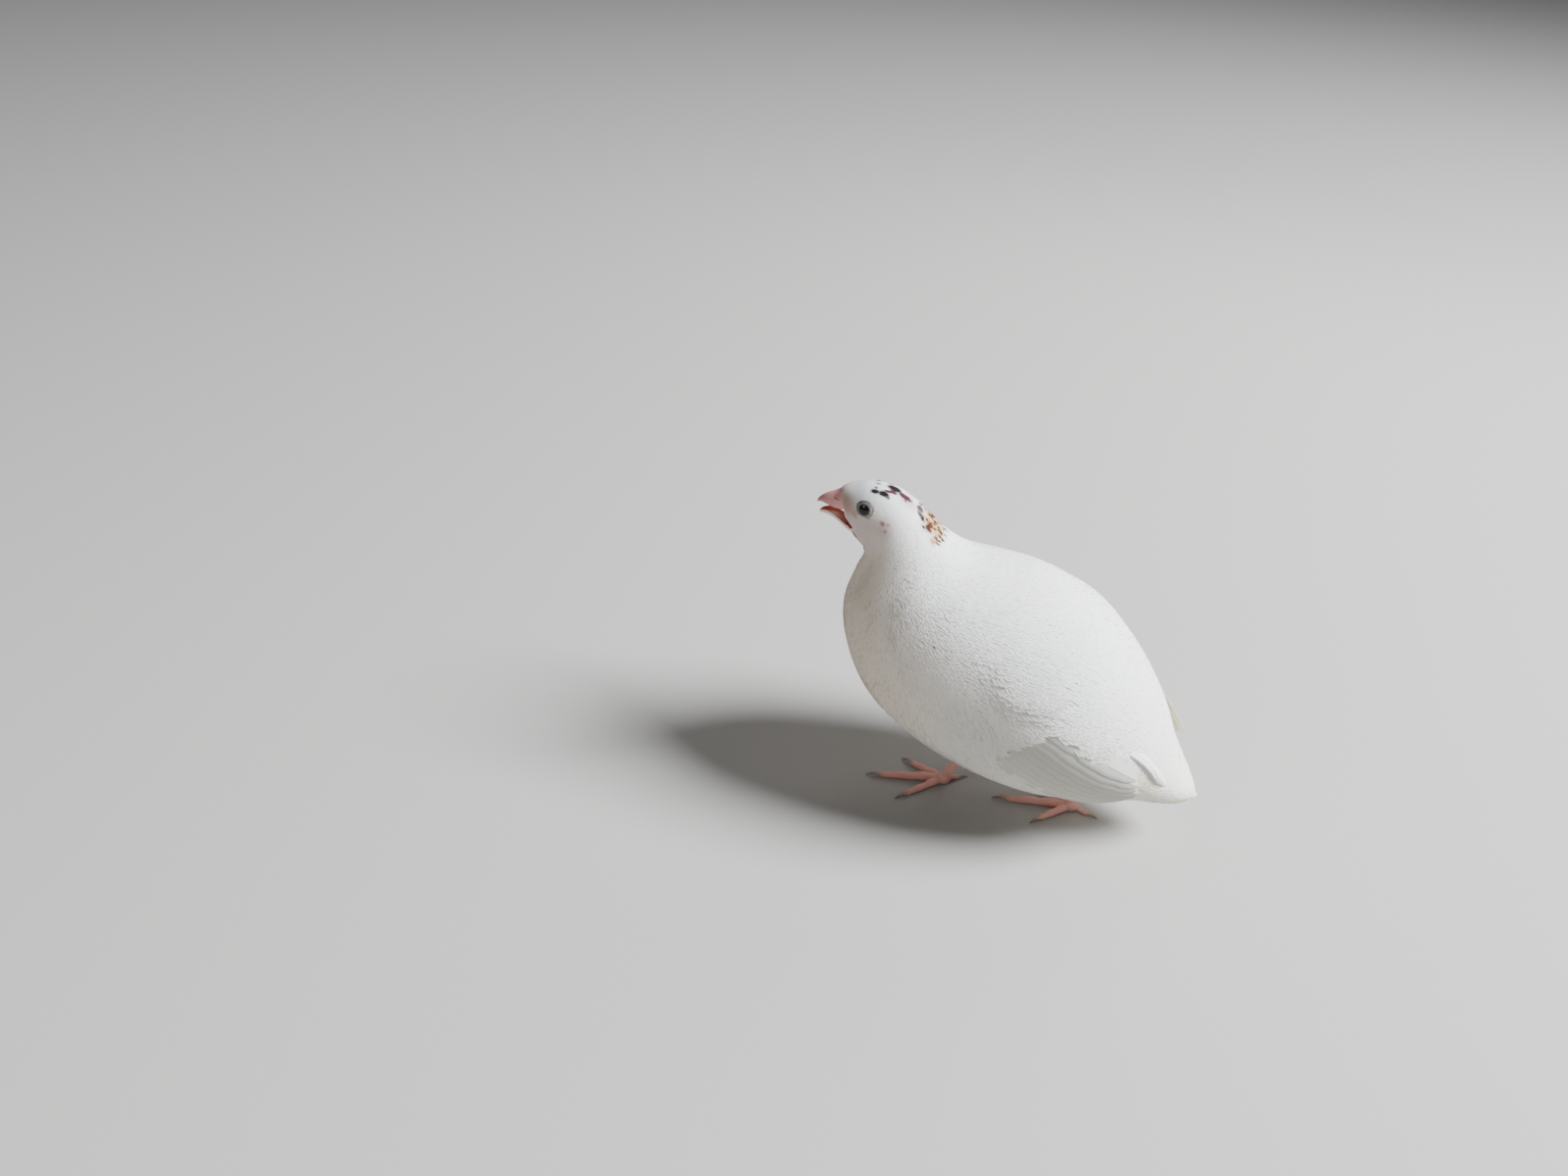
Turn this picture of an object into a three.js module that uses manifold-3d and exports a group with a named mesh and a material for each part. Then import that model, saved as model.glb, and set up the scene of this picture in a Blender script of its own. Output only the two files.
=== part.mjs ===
import * as THREE from 'three';
import Module from 'manifold-3d';

// A domestic coturnix quail, white with a speckled crown, standing with its bill a little open.
// Millimetres. The bird faces -X, its left side is -Y and +Z is up. The floor is z = 0.

const wasm = await Module();
wasm.setup();

const DEG = Math.PI / 180;
const GAP = 0.3; // clearance between neighbouring pieces

// The body from the face to the tail: x, z, tilt of the ring, then half sizes up, down and to the side.
const SPINE = [
  [-78.8, 120.6, 10, 5.4, 8.5, 4.2],
  [-76.8, 119.9, 10, 7.3, 11.2, 6.0],
  [-73.5, 119.4, 8, 9.2, 13.5, 7.9],
  [-69.5, 119.0, 0, 11.0, 14.8, 9.4],
  [-65.0, 117.8, -14, 12.0, 15.5, 10.4],
  [-60.8, 114.8, -33, 13.3, 15.0, 11.4],
  [-57.2, 110.3, -50, 14.8, 15.8, 13.2],
  [-54.0, 104.0, -58, 18.0, 21.0, 16.8],
  [-50.0, 95.5, -58, 24.5, 29.0, 23.5],
  [-42.5, 85.5, -50, 33.5, 37.5, 30.4],
  [-30.5, 75.5, -40, 39.6, 44.3, 35.2],
  [-14.5, 66.5, -32, 41.8, 46.0, 38.0],
  [4.0, 58.0, -27, 40.0, 44.0, 39.2],
  [22.0, 48.0, -27, 33.6, 35.5, 36.0],
  [38.0, 39.5, -31, 23.2, 25.0, 28.6],
  [51.0, 32.0, -34, 12.5, 15.5, 18.5],
  [61.5, 25.5, -34, 5.5, 7.5, 10.0],
  [68.5, 21.0, -34, 2.5, 2.5, 3.5],
];
const HEAD_END = 5.3; // places along the spine where the pieces meet
const NECK_END = 7.3;
const TORSO_END = 14.7;
const TAIL_TIP = 17;

const EYE = { x: -69.2, y: 9.5, z: 123.1, radius: 4.2, opening: 2.9, facing: [-0.15, 1, 0.2] };

// One foot: the hub on the floor, the heading of its middle toe in degrees from straight ahead
// (positive turns outward), and the ankle that the shank rises to.
const FEET = {
  left: { hub: [-26.8, -0.6], heading: 12, ankle: [-15, -7, 32], out: -1 },
  right: { hub: [25.0, 0.6], heading: -8, ankle: [17, 8, 33], out: 1 },
};
// Toes: turn from the middle toe, length without the claw, claw length, radius.
const TOES = {
  inner: [-36, 15.5, 4.6, 1.75],
  middle: [0, 25.5, 5.6, 1.95],
  outer: [34, 18.5, 4.8, 1.7],
  hind: [-158, 7.0, 4.2, 1.35],
};

const v3 = (x, y, z) => new THREE.Vector3(x, y, z);
const lerp = (a, b, t) => a + (b - a) * t;
const range = (n) => Array.from({ length: n }, (_, i) => i);

// A smooth curve through the rows of a table, t counted in rows.
function along(rows, t) {
  const last = rows.length - 1;
  const i = Math.min(Math.max(Math.floor(t), 0), last - 1);
  const u = t - i;
  const [p0, p1, p2, p3] = [rows[Math.max(i - 1, 0)], rows[i], rows[i + 1], rows[Math.min(i + 2, last)]];
  return p1.map((b, k) => {
    const [a, c, d] = [p0[k], p2[k], p3[k]];
    return 0.5 * (2 * b + (c - a) * u + (2 * a - 5 * b + 4 * c - d) * u * u + (3 * b - a - 3 * c + d) * u ** 3);
  });
}

// A point of the body: s along the spine, theta round it from the back's mid line towards +Y.
function onBody(s, theta, grow = 0) {
  const [x, z, tilt, up, down, side] = along(SPINE, s);
  const c = Math.cos(theta);
  const r = ((c > 0 ? up : down) + grow) * c;
  const a = tilt * DEG;
  return v3(x - Math.sin(a) * r, (side + grow) * Math.sin(theta), z + Math.cos(a) * r);
}

function bodyNormal(s, theta) {
  const e = 0.02;
  const ds = onBody(s + e, theta).sub(onBody(s - e, theta));
  const dt = onBody(s, theta + e).sub(onBody(s, theta - e));
  return dt.cross(ds).normalize();
}

// A closed surface through rings of equal count. Its ends are fans, or strips for thin curved rings.
function solid(rings, stripEnds = false) {
  const m = rings[0].length;
  const pos = rings.flat().flatMap((p) => [p.x, p.y, p.z]);
  const tri = [];
  for (let i = 0; i + 1 < rings.length; i++) {
    for (let j = 0; j < m; j++) {
      const [a, b] = [i * m + j, i * m + ((j + 1) % m)];
      tri.push(a, b, b + m, a, b + m, a + m);
    }
  }
  for (const k of [0, rings.length - 1]) {
    const at = (j) => k * m + (((j % m) + m) % m);
    const add = (a, b, c) => tri.push(...(k ? [a, b, c] : [b, a, c]));
    if (stripEnds) {
      for (let j = 0; j < m / 2 - 1; j++) {
        add(at(j), at(j + 1), at(m - 2 - j));
        add(at(j), at(m - 2 - j), at(m - 1 - j));
      }
    } else {
      const centre = rings[k].reduce((c, p) => c.add(p), v3(0, 0, 0)).divideScalar(m);
      pos.push(centre.x, centre.y, centre.z);
      for (let j = 0; j < m; j++) add(at(j), at(j + 1), pos.length / 3 - 1);
    }
  }
  let volume = 0;
  for (let i = 0; i < tri.length; i += 3) {
    const [p, q, r] = [0, 1, 2].map((k) => v3().fromArray(pos, tri[i + k] * 3));
    volume += p.dot(q.cross(r));
  }
  if (volume < 0) for (let i = 0; i < tri.length; i += 3) [tri[i], tri[i + 1]] = [tri[i + 1], tri[i]];
  return new wasm.Manifold(new wasm.Mesh({
    numProp: 3, vertProperties: new Float32Array(pos), triVerts: new Uint32Array(tri),
  }));
}

const fuse = (first, ...rest) => rest.reduce((a, b) => a.add(b), first);
const carve = (first, ...rest) => rest.reduce((a, b) => a.subtract(b), first);

// The largest closed surface of a solid.
function largest(shape) {
  return shape.decompose().sort((a, b) => b.volume() - a.volume())[0];
}

// The body between two places along the spine.
function bodyLength(from, to, rows, around, grow = 0) {
  return solid(range(rows).map((i) => {
    const s = lerp(from, to, i / (rows - 1));
    return range(around).map((j) => onBody(s, (2 * Math.PI * j) / around, grow));
  }));
}

// A ring of a tube: centre, direction of the tube, half width and half height, kept above the floor.
function tubeRing(centre, dir, wide, high, count = 10, floor = 0) {
  const side = v3(0, 0, 1).cross(dir);
  if (side.length() < 0.05) side.set(0, 1, 0);
  side.normalize();
  const up = dir.clone().cross(side).normalize();
  return range(count).map((j) => {
    const a = (2 * Math.PI * (j + 0.5)) / count;
    const p = centre.clone().addScaledVector(side, wide * Math.cos(a)).addScaledVector(up, high * Math.sin(a));
    p.z = Math.max(p.z, floor);
    return p;
  });
}

// A tube through points of the form [centre, half width, half height].
function tube(points, count = 10, floor = 0) {
  return solid(points.map(([p, wide, high], i) => {
    const dir = points[Math.min(i + 1, points.length - 1)][0].clone().sub(points[Math.max(i - 1, 0)][0]);
    return tubeRing(p, dir.normalize(), wide, high, count, floor);
  }));
}

function ball(centre, rx, ry, rz, rows = 10, around = 16) {
  return solid(range(rows).map((i) => {
    const a = Math.PI * lerp(0.04, 0.96, i / (rows - 1));
    return range(around).map((j) => {
      const b = (2 * Math.PI * j) / around;
      return v3(
        centre.x + rx * Math.sin(a) * Math.cos(b), centre.y + ry * Math.sin(a) * Math.sin(b),
        centre.z + rz * Math.cos(a),
      );
    });
  }));
}

// A flat plate across the bird, outlined by x, z pairs that can be seen from their own middle.
function crossPlate(outline, halfWidth) {
  return solid([-halfWidth, halfWidth].map((y) => outline.map(([x, z]) => v3(x, y, z))));
}

// Eyes: a whole ball in a socket, with the lids as a ring round the opening.
function eyeFrame(sign) {
  const facing = v3(EYE.facing[0], EYE.facing[1] * sign, EYE.facing[2]).normalize();
  const pole = v3(EYE.x, EYE.y * sign, EYE.z);
  return { facing, centre: pole.clone().addScaledVector(facing, -EYE.radius) };
}

function eyeball(sign, grow = 0, rows = 8, around = 16) {
  const { facing, centre } = eyeFrame(sign);
  const turn = new THREE.Quaternion().setFromUnitVectors(v3(0, 0, 1), facing);
  const r = EYE.radius + grow;
  return solid(range(rows).map((i) => {
    const a = Math.PI * lerp(0.03, 0.97, i / (rows - 1));
    return range(around).map((j) => {
      const b = (2 * Math.PI * j) / around;
      const p = v3(Math.sin(a) * Math.cos(b), Math.sin(a) * Math.sin(b), Math.cos(a)).multiplyScalar(r);
      return p.applyQuaternion(turn).add(centre);
    });
  }));
}

function lids(sign) {
  const { facing, centre } = eyeFrame(sign);
  const turn = new THREE.Quaternion().setFromUnitVectors(v3(0, 0, 1), facing);
  const depth = Math.sqrt(EYE.radius ** 2 - EYE.opening ** 2);
  const [around, section, main, thick] = [20, 6, EYE.opening + 0.35, 0.55];
  const pos = [];
  const tri = [];
  for (const i of range(around)) {
    for (const j of range(section)) {
      const [a, b] = [(2 * Math.PI * i) / around, (2 * Math.PI * j) / section];
      const r = main + thick * Math.cos(b);
      const p = v3(r * Math.cos(a), r * Math.sin(a), depth - 0.1 + thick * Math.sin(b));
      p.applyQuaternion(turn).add(centre);
      pos.push(p.x, p.y, p.z);
      const at = (u, w) => (u % around) * section + (w % section);
      tri.push(at(i, j), at(i + 1, j), at(i + 1, j + 1), at(i, j), at(i + 1, j + 1), at(i, j + 1));
    }
  }
  return new wasm.Manifold(new wasm.Mesh({
    numProp: 3, vertProperties: new Float32Array(pos), triVerts: new Uint32Array(tri),
  }));
}

// Upper bill rings: top x and z, edge x and z, half width. The first two lie inside the face.
const UPPER_BILL = [
  [-76.6, 125.4, -75.6, 118.9, 3.0],
  [-79.6, 125.5, -78.4, 118.6, 3.5],
  [-82.0, 124.1, -80.9, 118.5, 3.2],
  [-84.3, 122.9, -83.4, 118.8, 2.55],
  [-86.3, 121.6, -85.8, 119.1, 1.75],
  [-87.7, 120.3, -87.3, 118.9, 1.05],
  [-88.5, 118.9, -88.3, 118.2, 0.35],
];
// Lower bill rings: rim x and z, keel x and z, half width.
const LOWER_BILL = [
  [-73.8, 111.0, -73.2, 107.9, 2.2],
  [-76.5, 112.4, -75.8, 109.3, 3.0],
  [-79.0, 114.1, -78.3, 111.1, 3.0],
  [-81.6, 115.6, -81.1, 112.9, 2.6],
  [-84.0, 116.2, -83.7, 113.8, 2.0],
  [-86.2, 115.8, -86.0, 114.1, 1.25],
  [-87.4, 114.9, -87.3, 114.2, 0.45],
];

// A bill half: its ring is a deep arch with a slightly hollow face towards the mouth.
function billHalf(rows, hollow, grow = 0, steps = 10) {
  const arch = 9;
  return solid(range(steps).map((i) => {
    const [tx, tz, ex, ez, w] = along(rows, (i / (steps - 1)) * (rows.length - 1));
    const [cx, cz] = [ex, ez];
    const depth = Math.hypot(tx - cx, tz - cz);
    const [ux, uz] = [(tx - cx) / depth, (tz - cz) / depth];
    const ring = range(arch).map((k) => {
      const a = (Math.PI * k) / (arch - 1);
      const [c, q] = [Math.cos(a) * (w + grow), Math.sin(a) ** 0.85 * (depth + grow) - (k % (arch - 1) ? 0 : grow)];
      return v3(cx + ux * q, c, cz + uz * q);
    });
    for (const c of [-0.5, 0, 0.5]) {
      const q = depth * hollow * (1 - Math.abs(c)) - grow;
      ring.push(v3(cx + ux * q, c * (w + grow), cz + uz * q));
    }
    return ring;
  }));
}

const upperBill = (grow) => billHalf(UPPER_BILL, 0.18, grow);
// The lower half is the same form upside down: its rows run from the rim to the keel.
const lowerRows = LOWER_BILL.map(([rx, rz, kx, kz, w]) => [kx, kz, rx, rz, w]);
const lowerBill = (grow) => billHalf(lowerRows, 0.2, grow);

// Nostrils: a slit on each side of the upper bill, near its root.
const nostrils = () => [-1, 1].map((sign) => ball(v3(-81.1, sign * 3.25, 121.6), 1.25, 0.75, 0.45, 8, 12));

// The open mouth: a wedge cut through the face from the front to the corner of the mouth.
const MOUTH = [
  [-73.0, 111.7], [-76.7, 115.3], [-78.7, 117.4], [-80.3, 118.3], [-84.5, 118.5], [-84.5, 116.7],
  [-81.6, 116.0], [-79.0, 114.5], [-76.4, 112.9], [-74.4, 111.8],
];

function head() {
  const skull = bodyLength(0, HEAD_END, 14, 28);
  const whole = fuse(skull, lids(-1), lids(1));
  return largest(carve(
    whole, eyeball(-1, GAP), eyeball(1, GAP), crossPlate(MOUTH, 14), upperBill(GAP), lowerBill(GAP),
  ));
}

// The tongue lies along the floor of the mouth, its root between the jaws.
function tongue() {
  const floorLine = [[-76.0, 114.0], [-78.2, 115.1], [-80.4, 116.5], [-82.6, 117.3], [-84.2, 117.3]];
  const half = [0.7, 1.1, 1.15, 0.9, 0.35];
  return tube(floorLine.map(([x, z], i) => [v3(x, 0, z), half[i], Math.min(0.55, half[i])]), 10);
}

// Wings, folded on the body. Places are given as s along the spine and degrees down from the back's
// mid line. The plate that the feathers grow from: s, then the angles of its upper and lower edge.
const WING_PLATE = [
  [7.9, 70, 84], [8.5, 50, 99], [9.3, 40, 106], [10.2, 34, 109], [11.1, 33, 110], [11.9, 38, 108],
  [12.5, 48, 106], [13.0, 62, 102],
];
const PLATE_THICK = 2.0;

// Tiers of wing feathers, from the lowest layer to the top one. Each runs from its upper to its lower
// feather: count, roots (s, angle), tips (s, angle), height of root and tip over the body, width.
const WING_TIERS = {
  primaries: { count: 7, root: [[11.2, 78], [11.7, 104]], tip: [[14.35, 78], [14.15, 116]], out: 0.45,
    high: [1.55, 1.35], wide: 7.5,
    far: { root: [[11.2, 62], [11.7, 104]], tip: [[15.1, 64], [14.15, 116]], high: [1.95, 1.6] } },
  secondaries: { count: 7, root: [[10.7, 66], [10.9, 105]], tip: [[13.45, 74], [13.15, 113]], out: 0.1,
    high: [1.75, 2.0], wide: 8.5 },
  tertials: { count: 4, root: [[11.0, 40], [10.9, 62]], tip: [[13.35, 40], [12.75, 68]], out: 0.12,
    high: [1.8, 2.3], wide: 12 },
  greaterCoverts: { count: 6, root: [[9.9, 66], [9.9, 104]], tip: [[12.2, 72], [11.8, 111]], out: 0.05,
    high: [1.8, 2.65], wide: 9.5 },
  scapulars: { count: 4, root: [[9.6, 42], [9.8, 62]], tip: [[12.2, 37], [12.0, 66]], out: 0.1,
    high: [1.8, 2.85], wide: 13 },
  medianCoverts: { count: 4, root: [[8.8, 58], [8.8, 98]], tip: [[10.75, 56], [10.5, 107]], out: 0.06,
    high: [1.7, 2.95], wide: 12 },
};
// The right wing hangs a little loose: its feathers' ends stand off the rump, more towards their tips.
const LOOSE = { from: 12.4, to: 15.4, high: 6.5 };
const looseness = (s) => LOOSE.high * Math.max(0, (s - LOOSE.from) / (LOOSE.to - LOOSE.from)) ** 1.3;
// A feather's outline: share of its length, share of its full width.
const VANE = [[0, 0.45], [0.3, 0.85], [0.66, 1], [0.9, 0.72], [1, 0.2]];
const VANE_THICK = 0.62;

function outward(s, theta) {
  const n = bodyNormal(s, theta);
  const [x, z] = along(SPINE, s);
  return n.dot(onBody(s, theta).sub(v3(x, 0, z))) < 0 ? n.negate() : n;
}

// One feather along a path of [point, outward direction] pairs at the places of VANE.
// The tilt lifts the edge that lies on the next feather.
function vane(path, wide, tilt) {
  return solid(path.map(([p, up], i) => {
    const ahead = path[Math.min(i + 1, path.length - 1)][0];
    const dir = ahead.clone().sub(path[Math.max(i - 1, 0)][0]).normalize();
    const side = dir.clone().cross(up).applyAxisAngle(dir, tilt).normalize();
    const top = side.clone().cross(dir).normalize();
    const half = (wide / 2) * VANE[i][1];
    const thick = (VANE_THICK / 2) * (i === path.length - 1 ? 0.6 : 1);
    return [[-1, -1], [1, -1], [1, 1], [0, 1.5], [-1, 1]].map(([a, b]) => (
      p.clone().addScaledVector(side, a * half).addScaledVector(top, b * thick)
    ));
  }));
}

function wingFeather(sign, tier, f, draw) {
  const { root, tip, out, high, wide } = sign > 0 ? { ...tier, ...tier.far } : tier;
  const [s0, a0] = [0, 1].map((k) => lerp(root[0][k], root[1][k], f));
  const [s1, a1] = [0, 1].map((k) => lerp(tip[0][k], tip[1][k], f));
  const reach = s1 + out * Math.sin(Math.PI * lerp(0.25, 0.9, f)) + 0.05 * draw();
  return vane(VANE.map(([t]) => {
    const s = lerp(s0, reach, t);
    const theta = sign * lerp(a0, a1, t) * DEG;
    const up = outward(s, theta);
    const height = lerp(high[0], high[1], t ** 0.7) + (sign > 0 ? looseness(s) : 0);
    return [onBody(s, theta).addScaledVector(up, height), up];
  }), wide * (1 + 0.06 * draw()), sign * 0.1);
}

// Even draws between -1 and 1 from a seed, the same for both wings.
function drawsFrom(seed) {
  let state = seed;
  return () => {
    state = (state * 16807) % 2147483647;
    return (2 * state) / 2147483647 - 1;
  };
}

// A skin-like plate over the body, thickest in its middle.
function wingPlate(sign, rows, across) {
  const last = WING_PLATE.length - 1;
  return solid(range(rows).map((i) => {
    const t = i / (rows - 1);
    const [s, top, low] = along(WING_PLATE, t * last);
    const layer = (inner) => range(across).map((j) => {
      const f = (inner ? across - 1 - j : j) / (across - 1);
      const bulge = Math.sin(Math.PI * f) ** 0.6 * Math.sin(Math.PI * lerp(0.06, 0.94, t)) ** 0.6;
      const h = inner ? GAP + 0.1 : GAP + 0.8 + (PLATE_THICK - 0.8) * bulge;
      const theta = sign * lerp(top, low, f) * DEG;
      return onBody(s, theta).addScaledVector(outward(s, theta), h);
    });
    return [...layer(false), ...layer(true)];
  }), true);
}

function wing(sign) {
  const draw = drawsFrom(71);
  const feathers = Object.values(WING_TIERS).flatMap((tier) => (
    range(tier.count).map((k) => wingFeather(sign, tier, k / (tier.count - 1), draw))
  ));
  const whole = fuse(wingPlate(sign, 12, 6), ...feathers);
  return largest(whole);
}

// The tail: a core, its flight feathers in a low arch, and the coverts over and under their roots.
const TAIL_CORE_END = 16.1;
const TAIL_TIERS = {
  rectrices: { count: 9, root: 15.3, lift: [-0.6, 1.2], tip: [70.2, 10.5, 22.6], fall: [4.5, 3.6], wide: 7 },
  under: { count: 4, root: 15.2, lift: [-3.5, -2.0], tip: [64.5, 6.5, 17.2], fall: [3, 0.6], wide: 7.5 },
  over: { count: 6, root: 15.0, lift: [2.5, 2.6], tip: [65.4, 7.5, 27.2], fall: [4, 3.2], wide: 8 },
};

function tailFeather(tier, f, draw) {
  const { root, lift, tip, fall, wide } = tier;
  const [x, z, tilt, , , side] = along(SPINE, root);
  const up = v3(-Math.sin(tilt * DEG), 0, Math.cos(tilt * DEG));
  const g = Math.abs(f);
  const from = v3(x, side * 0.42 * f, z).addScaledVector(up, lift[0] + 2 - 2 * g * g);
  const to = v3(tip[0] - fall[0] * g * g + 0.5 * draw(), tip[1] * f, tip[2] - fall[1] * g * g);
  const lean = up.clone().add(v3(0, 0.55 * f, 0)).normalize();
  return vane(VANE.map(([t]) => (
    [from.clone().lerp(to, t).addScaledVector(up, lift[1] * 0.5 * Math.sin(Math.PI * t)), lean]
  )), wide, -0.1 * Math.sign(f));
}

function tail() {
  const draw = drawsFrom(19);
  const feathers = Object.values(TAIL_TIERS).flatMap((tier) => (
    range(tier.count).map((k) => tailFeather(tier, lerp(-1, 1, k / (tier.count - 1)), draw))
  ));
  return largest(fuse(bodyLength(TORSO_END + 0.03, TAIL_CORE_END, 6, 22), ...feathers));
}

function torso(legs) {
  return largest(carve(bodyLength(NECK_END + 0.02, TORSO_END, 22, 30), ...legs));
}

const neck = () => bodyLength(HEAD_END + 0.06, NECK_END - 0.02, 6, 28);

// Legs and feet.
function toePath(foot, name) {
  const { hub, heading, out } = FEET[foot];
  const [turn, length, claw, radius] = TOES[name];
  const a = (heading + turn) * DEG;
  const dir = v3(-Math.cos(a), out * Math.sin(a), 0);
  return { dir, length, claw, radius, start: v3(hub[0], hub[1], 0) };
}

function toe(foot, name) {
  const { dir, length, radius, start } = toePath(foot, name);
  const knuckles = name === 'hind' ? 1 : 3;
  return tube(range(8).map((i) => {
    const t = i / 7;
    const r = radius * lerp(1, 0.72, t) * (1 + 0.09 * Math.cos(2 * Math.PI * knuckles * t));
    const high = r * lerp(1.0, 0.9, t);
    const z = high * 0.93 + (name === 'hind' ? 1.6 * (1 - t) : 0.5 * (1 - t) ** 2);
    return [start.clone().addScaledVector(dir, length * t).setZ(z), r, high];
  }), 8);
}

function claw(foot, name) {
  const { dir, length, claw: size, radius, start } = toePath(foot, name);
  const root = radius * 0.62;
  return tube(range(6).map((i) => {
    const t = i / 5;
    const r = root * lerp(1, 0.2, t ** 1.2);
    const lift = root * 1.25 * (1 - t ** 2) + 0.32 * t;
    return [start.clone().addScaledVector(dir, length + GAP + size * t).setZ(Math.max(lift, r)), r * 0.8, r];
  }), 6);
}

function shank(foot, grow = 0) {
  const { hub, ankle } = FEET[foot];
  const low = v3(hub[0], hub[1], 2.6);
  const high = v3(...ankle);
  const rows = [[0, 1.75, 1.9], [0.1, 1.7, 1.85], [0.3, 1.5, 1.75], [0.6, 1.5, 1.75], [0.72, 1.6, 1.85]];
  return tube(rows.map(([t, w, h]) => [low.clone().lerp(high, t), w + grow, h + grow]), 12, -5);
}

function foot(name) {
  const { hub } = FEET[name];
  const sole = solid(range(6).map((i) => {
    const a = Math.PI * lerp(0.08, 0.92, i / 5);
    return range(12).map((j) => {
      const b = (2 * Math.PI * j) / 12;
      const z = 2.2 + 2.7 * Math.cos(a);
      return v3(hub[0] + 3.1 * Math.sin(a) * Math.cos(b), hub[1] + 2.9 * Math.sin(a) * Math.sin(b), Math.max(z, 0));
    });
  }));
  return largest(carve(fuse(sole, ...Object.keys(TOES).map((t) => toe(name, t))), shank(name, GAP)));
}

const WHITE = 0xf2f0ea;
const COLOURS = {
  plumage: WHITE, bill: 0xd9a09b, mouth: 0xcf5a3c, eye: 0x1c1a1c, leg: 0xdb8d84, claw: 0xe6d8c8,
};

function named(name, shape, colour) {
  const { vertProperties, triVerts, numProp } = shape.getMesh();
  const geometry = new THREE.BufferGeometry();
  const pos = new Float32Array((vertProperties.length / numProp) * 3);
  for (let i = 0; i < pos.length / 3; i++) {
    for (const k of [0, 1, 2]) pos[i * 3 + k] = vertProperties[i * numProp + k];
  }
  geometry.setAttribute('position', new THREE.BufferAttribute(pos, 3));
  geometry.setIndex(Array.from(triVerts));
  geometry.computeVertexNormals();
  const mesh = new THREE.Mesh(geometry, new THREE.MeshStandardMaterial({ color: COLOURS[colour], roughness: 0.7 }));
  mesh.name = name;
  return mesh;
}

const bird = new THREE.Group();
bird.name = 'quail';
const add = (name, shape, colour) => bird.add(named(name, shape, colour));

add('head', head(), 'plumage');
add('upper_bill', carve(upperBill(0), ...nostrils()), 'bill');
add('lower_bill', lowerBill(0), 'bill');
add('tongue', tongue(), 'mouth');
add('neck', neck(), 'plumage');
add('torso', torso(['left', 'right'].map((f) => shank(f, GAP))), 'plumage');
add('tail', tail(), 'plumage');
for (const [side, sign] of [['left', -1], ['right', 1]]) {
  add(`eye_${side}`, eyeball(sign), 'eye');
  add(`wing_${side}`, wing(sign), 'plumage');
  add(`leg_${side}`, shank(side), 'leg');
  add(`foot_${side}`, foot(side), 'leg');
  for (const name of Object.keys(TOES)) add(`claw_${name}_${side}`, claw(side, name), 'claw');
}

// The origin: the middle of the whole bird's box, at the floor.
const box = new THREE.Box3().setFromObject(bird);
for (const mesh of bird.children) {
  mesh.geometry.translate(-(box.min.x + box.max.x) / 2, -(box.min.y + box.max.y) / 2, -box.min.z);
}

export default bird;
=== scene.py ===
"""A coturnix quail, white with a speckled crown: skin, plumage, bill, eyes and feet on the frame.

Lengths are millimetres in the bird's own frame, as in part.mjs: it faces -X, its left side
is -Y, +Z is up and the floor is z = 0. mesh_object() turns them into the frame's metres.
A place on the body is (s, theta): s counts the rows of SPINE from the face to the tail, and
theta goes round the body from the middle of the back, positive on the right side.
"""
import math
from itertools import product

import bpy
import numpy as np
from mathutils import Matrix, Vector
from numpy.random import default_rng


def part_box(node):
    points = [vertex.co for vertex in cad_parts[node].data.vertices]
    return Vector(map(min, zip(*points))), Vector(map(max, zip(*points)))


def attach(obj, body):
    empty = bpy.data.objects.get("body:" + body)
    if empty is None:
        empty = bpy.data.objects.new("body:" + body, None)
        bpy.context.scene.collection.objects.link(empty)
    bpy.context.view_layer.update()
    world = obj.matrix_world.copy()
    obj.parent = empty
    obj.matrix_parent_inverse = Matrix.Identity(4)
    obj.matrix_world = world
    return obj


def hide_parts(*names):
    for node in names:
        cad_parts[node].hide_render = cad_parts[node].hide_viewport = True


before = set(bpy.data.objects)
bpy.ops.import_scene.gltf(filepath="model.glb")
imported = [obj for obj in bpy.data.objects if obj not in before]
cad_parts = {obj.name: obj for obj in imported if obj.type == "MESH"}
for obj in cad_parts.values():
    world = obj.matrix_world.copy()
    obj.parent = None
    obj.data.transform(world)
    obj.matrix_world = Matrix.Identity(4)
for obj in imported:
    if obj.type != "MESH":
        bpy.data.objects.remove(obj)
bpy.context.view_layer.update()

MM = 0.001
BILL_TIP_X = -88.5  # the foremost point of the bird's own frame
BILL_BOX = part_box("upper_bill")
SHIFT = Vector((BILL_BOX[0].x / MM - BILL_TIP_X, (BILL_BOX[0].y + BILL_BOX[1].y) / 2 / MM, 0))
RNG = default_rng(20)


# Helpers for numbers, angles and colours

def clamp(x):
    """x held between 0 and 1."""
    return np.clip(x, 0, 1)


def smooth_step(x):
    """A soft rise from 0 to 1."""
    x = clamp(x)
    return x * x * (3 - 2 * x)


def norm(v):
    return np.linalg.norm(v, axis=-1)


def unit(v):
    return v / (norm(v)[..., None] + 1e-12)


def circle(count):
    """Angles once round, evenly spaced."""
    return np.linspace(0, 2 * np.pi, count, endpoint=False)


def wrapped(angle):
    """The same angle, between -pi and pi."""
    return np.angle(np.exp(1j * angle))


def degrees_down(theta):
    """Degrees down from the middle of the back, on either side."""
    return np.degrees(np.abs(wrapped(theta)))


def read_off(table, x, column=1):
    """A column of a table at x, which its first column holds."""
    return np.interp(x, table[:, 0], table[:, column])


def blend(colour, other, amount):
    """A colour moved towards another, by 0 to 1."""
    return colour + (np.asarray(other) - colour) * amount[..., None]


# The body's form

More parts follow.
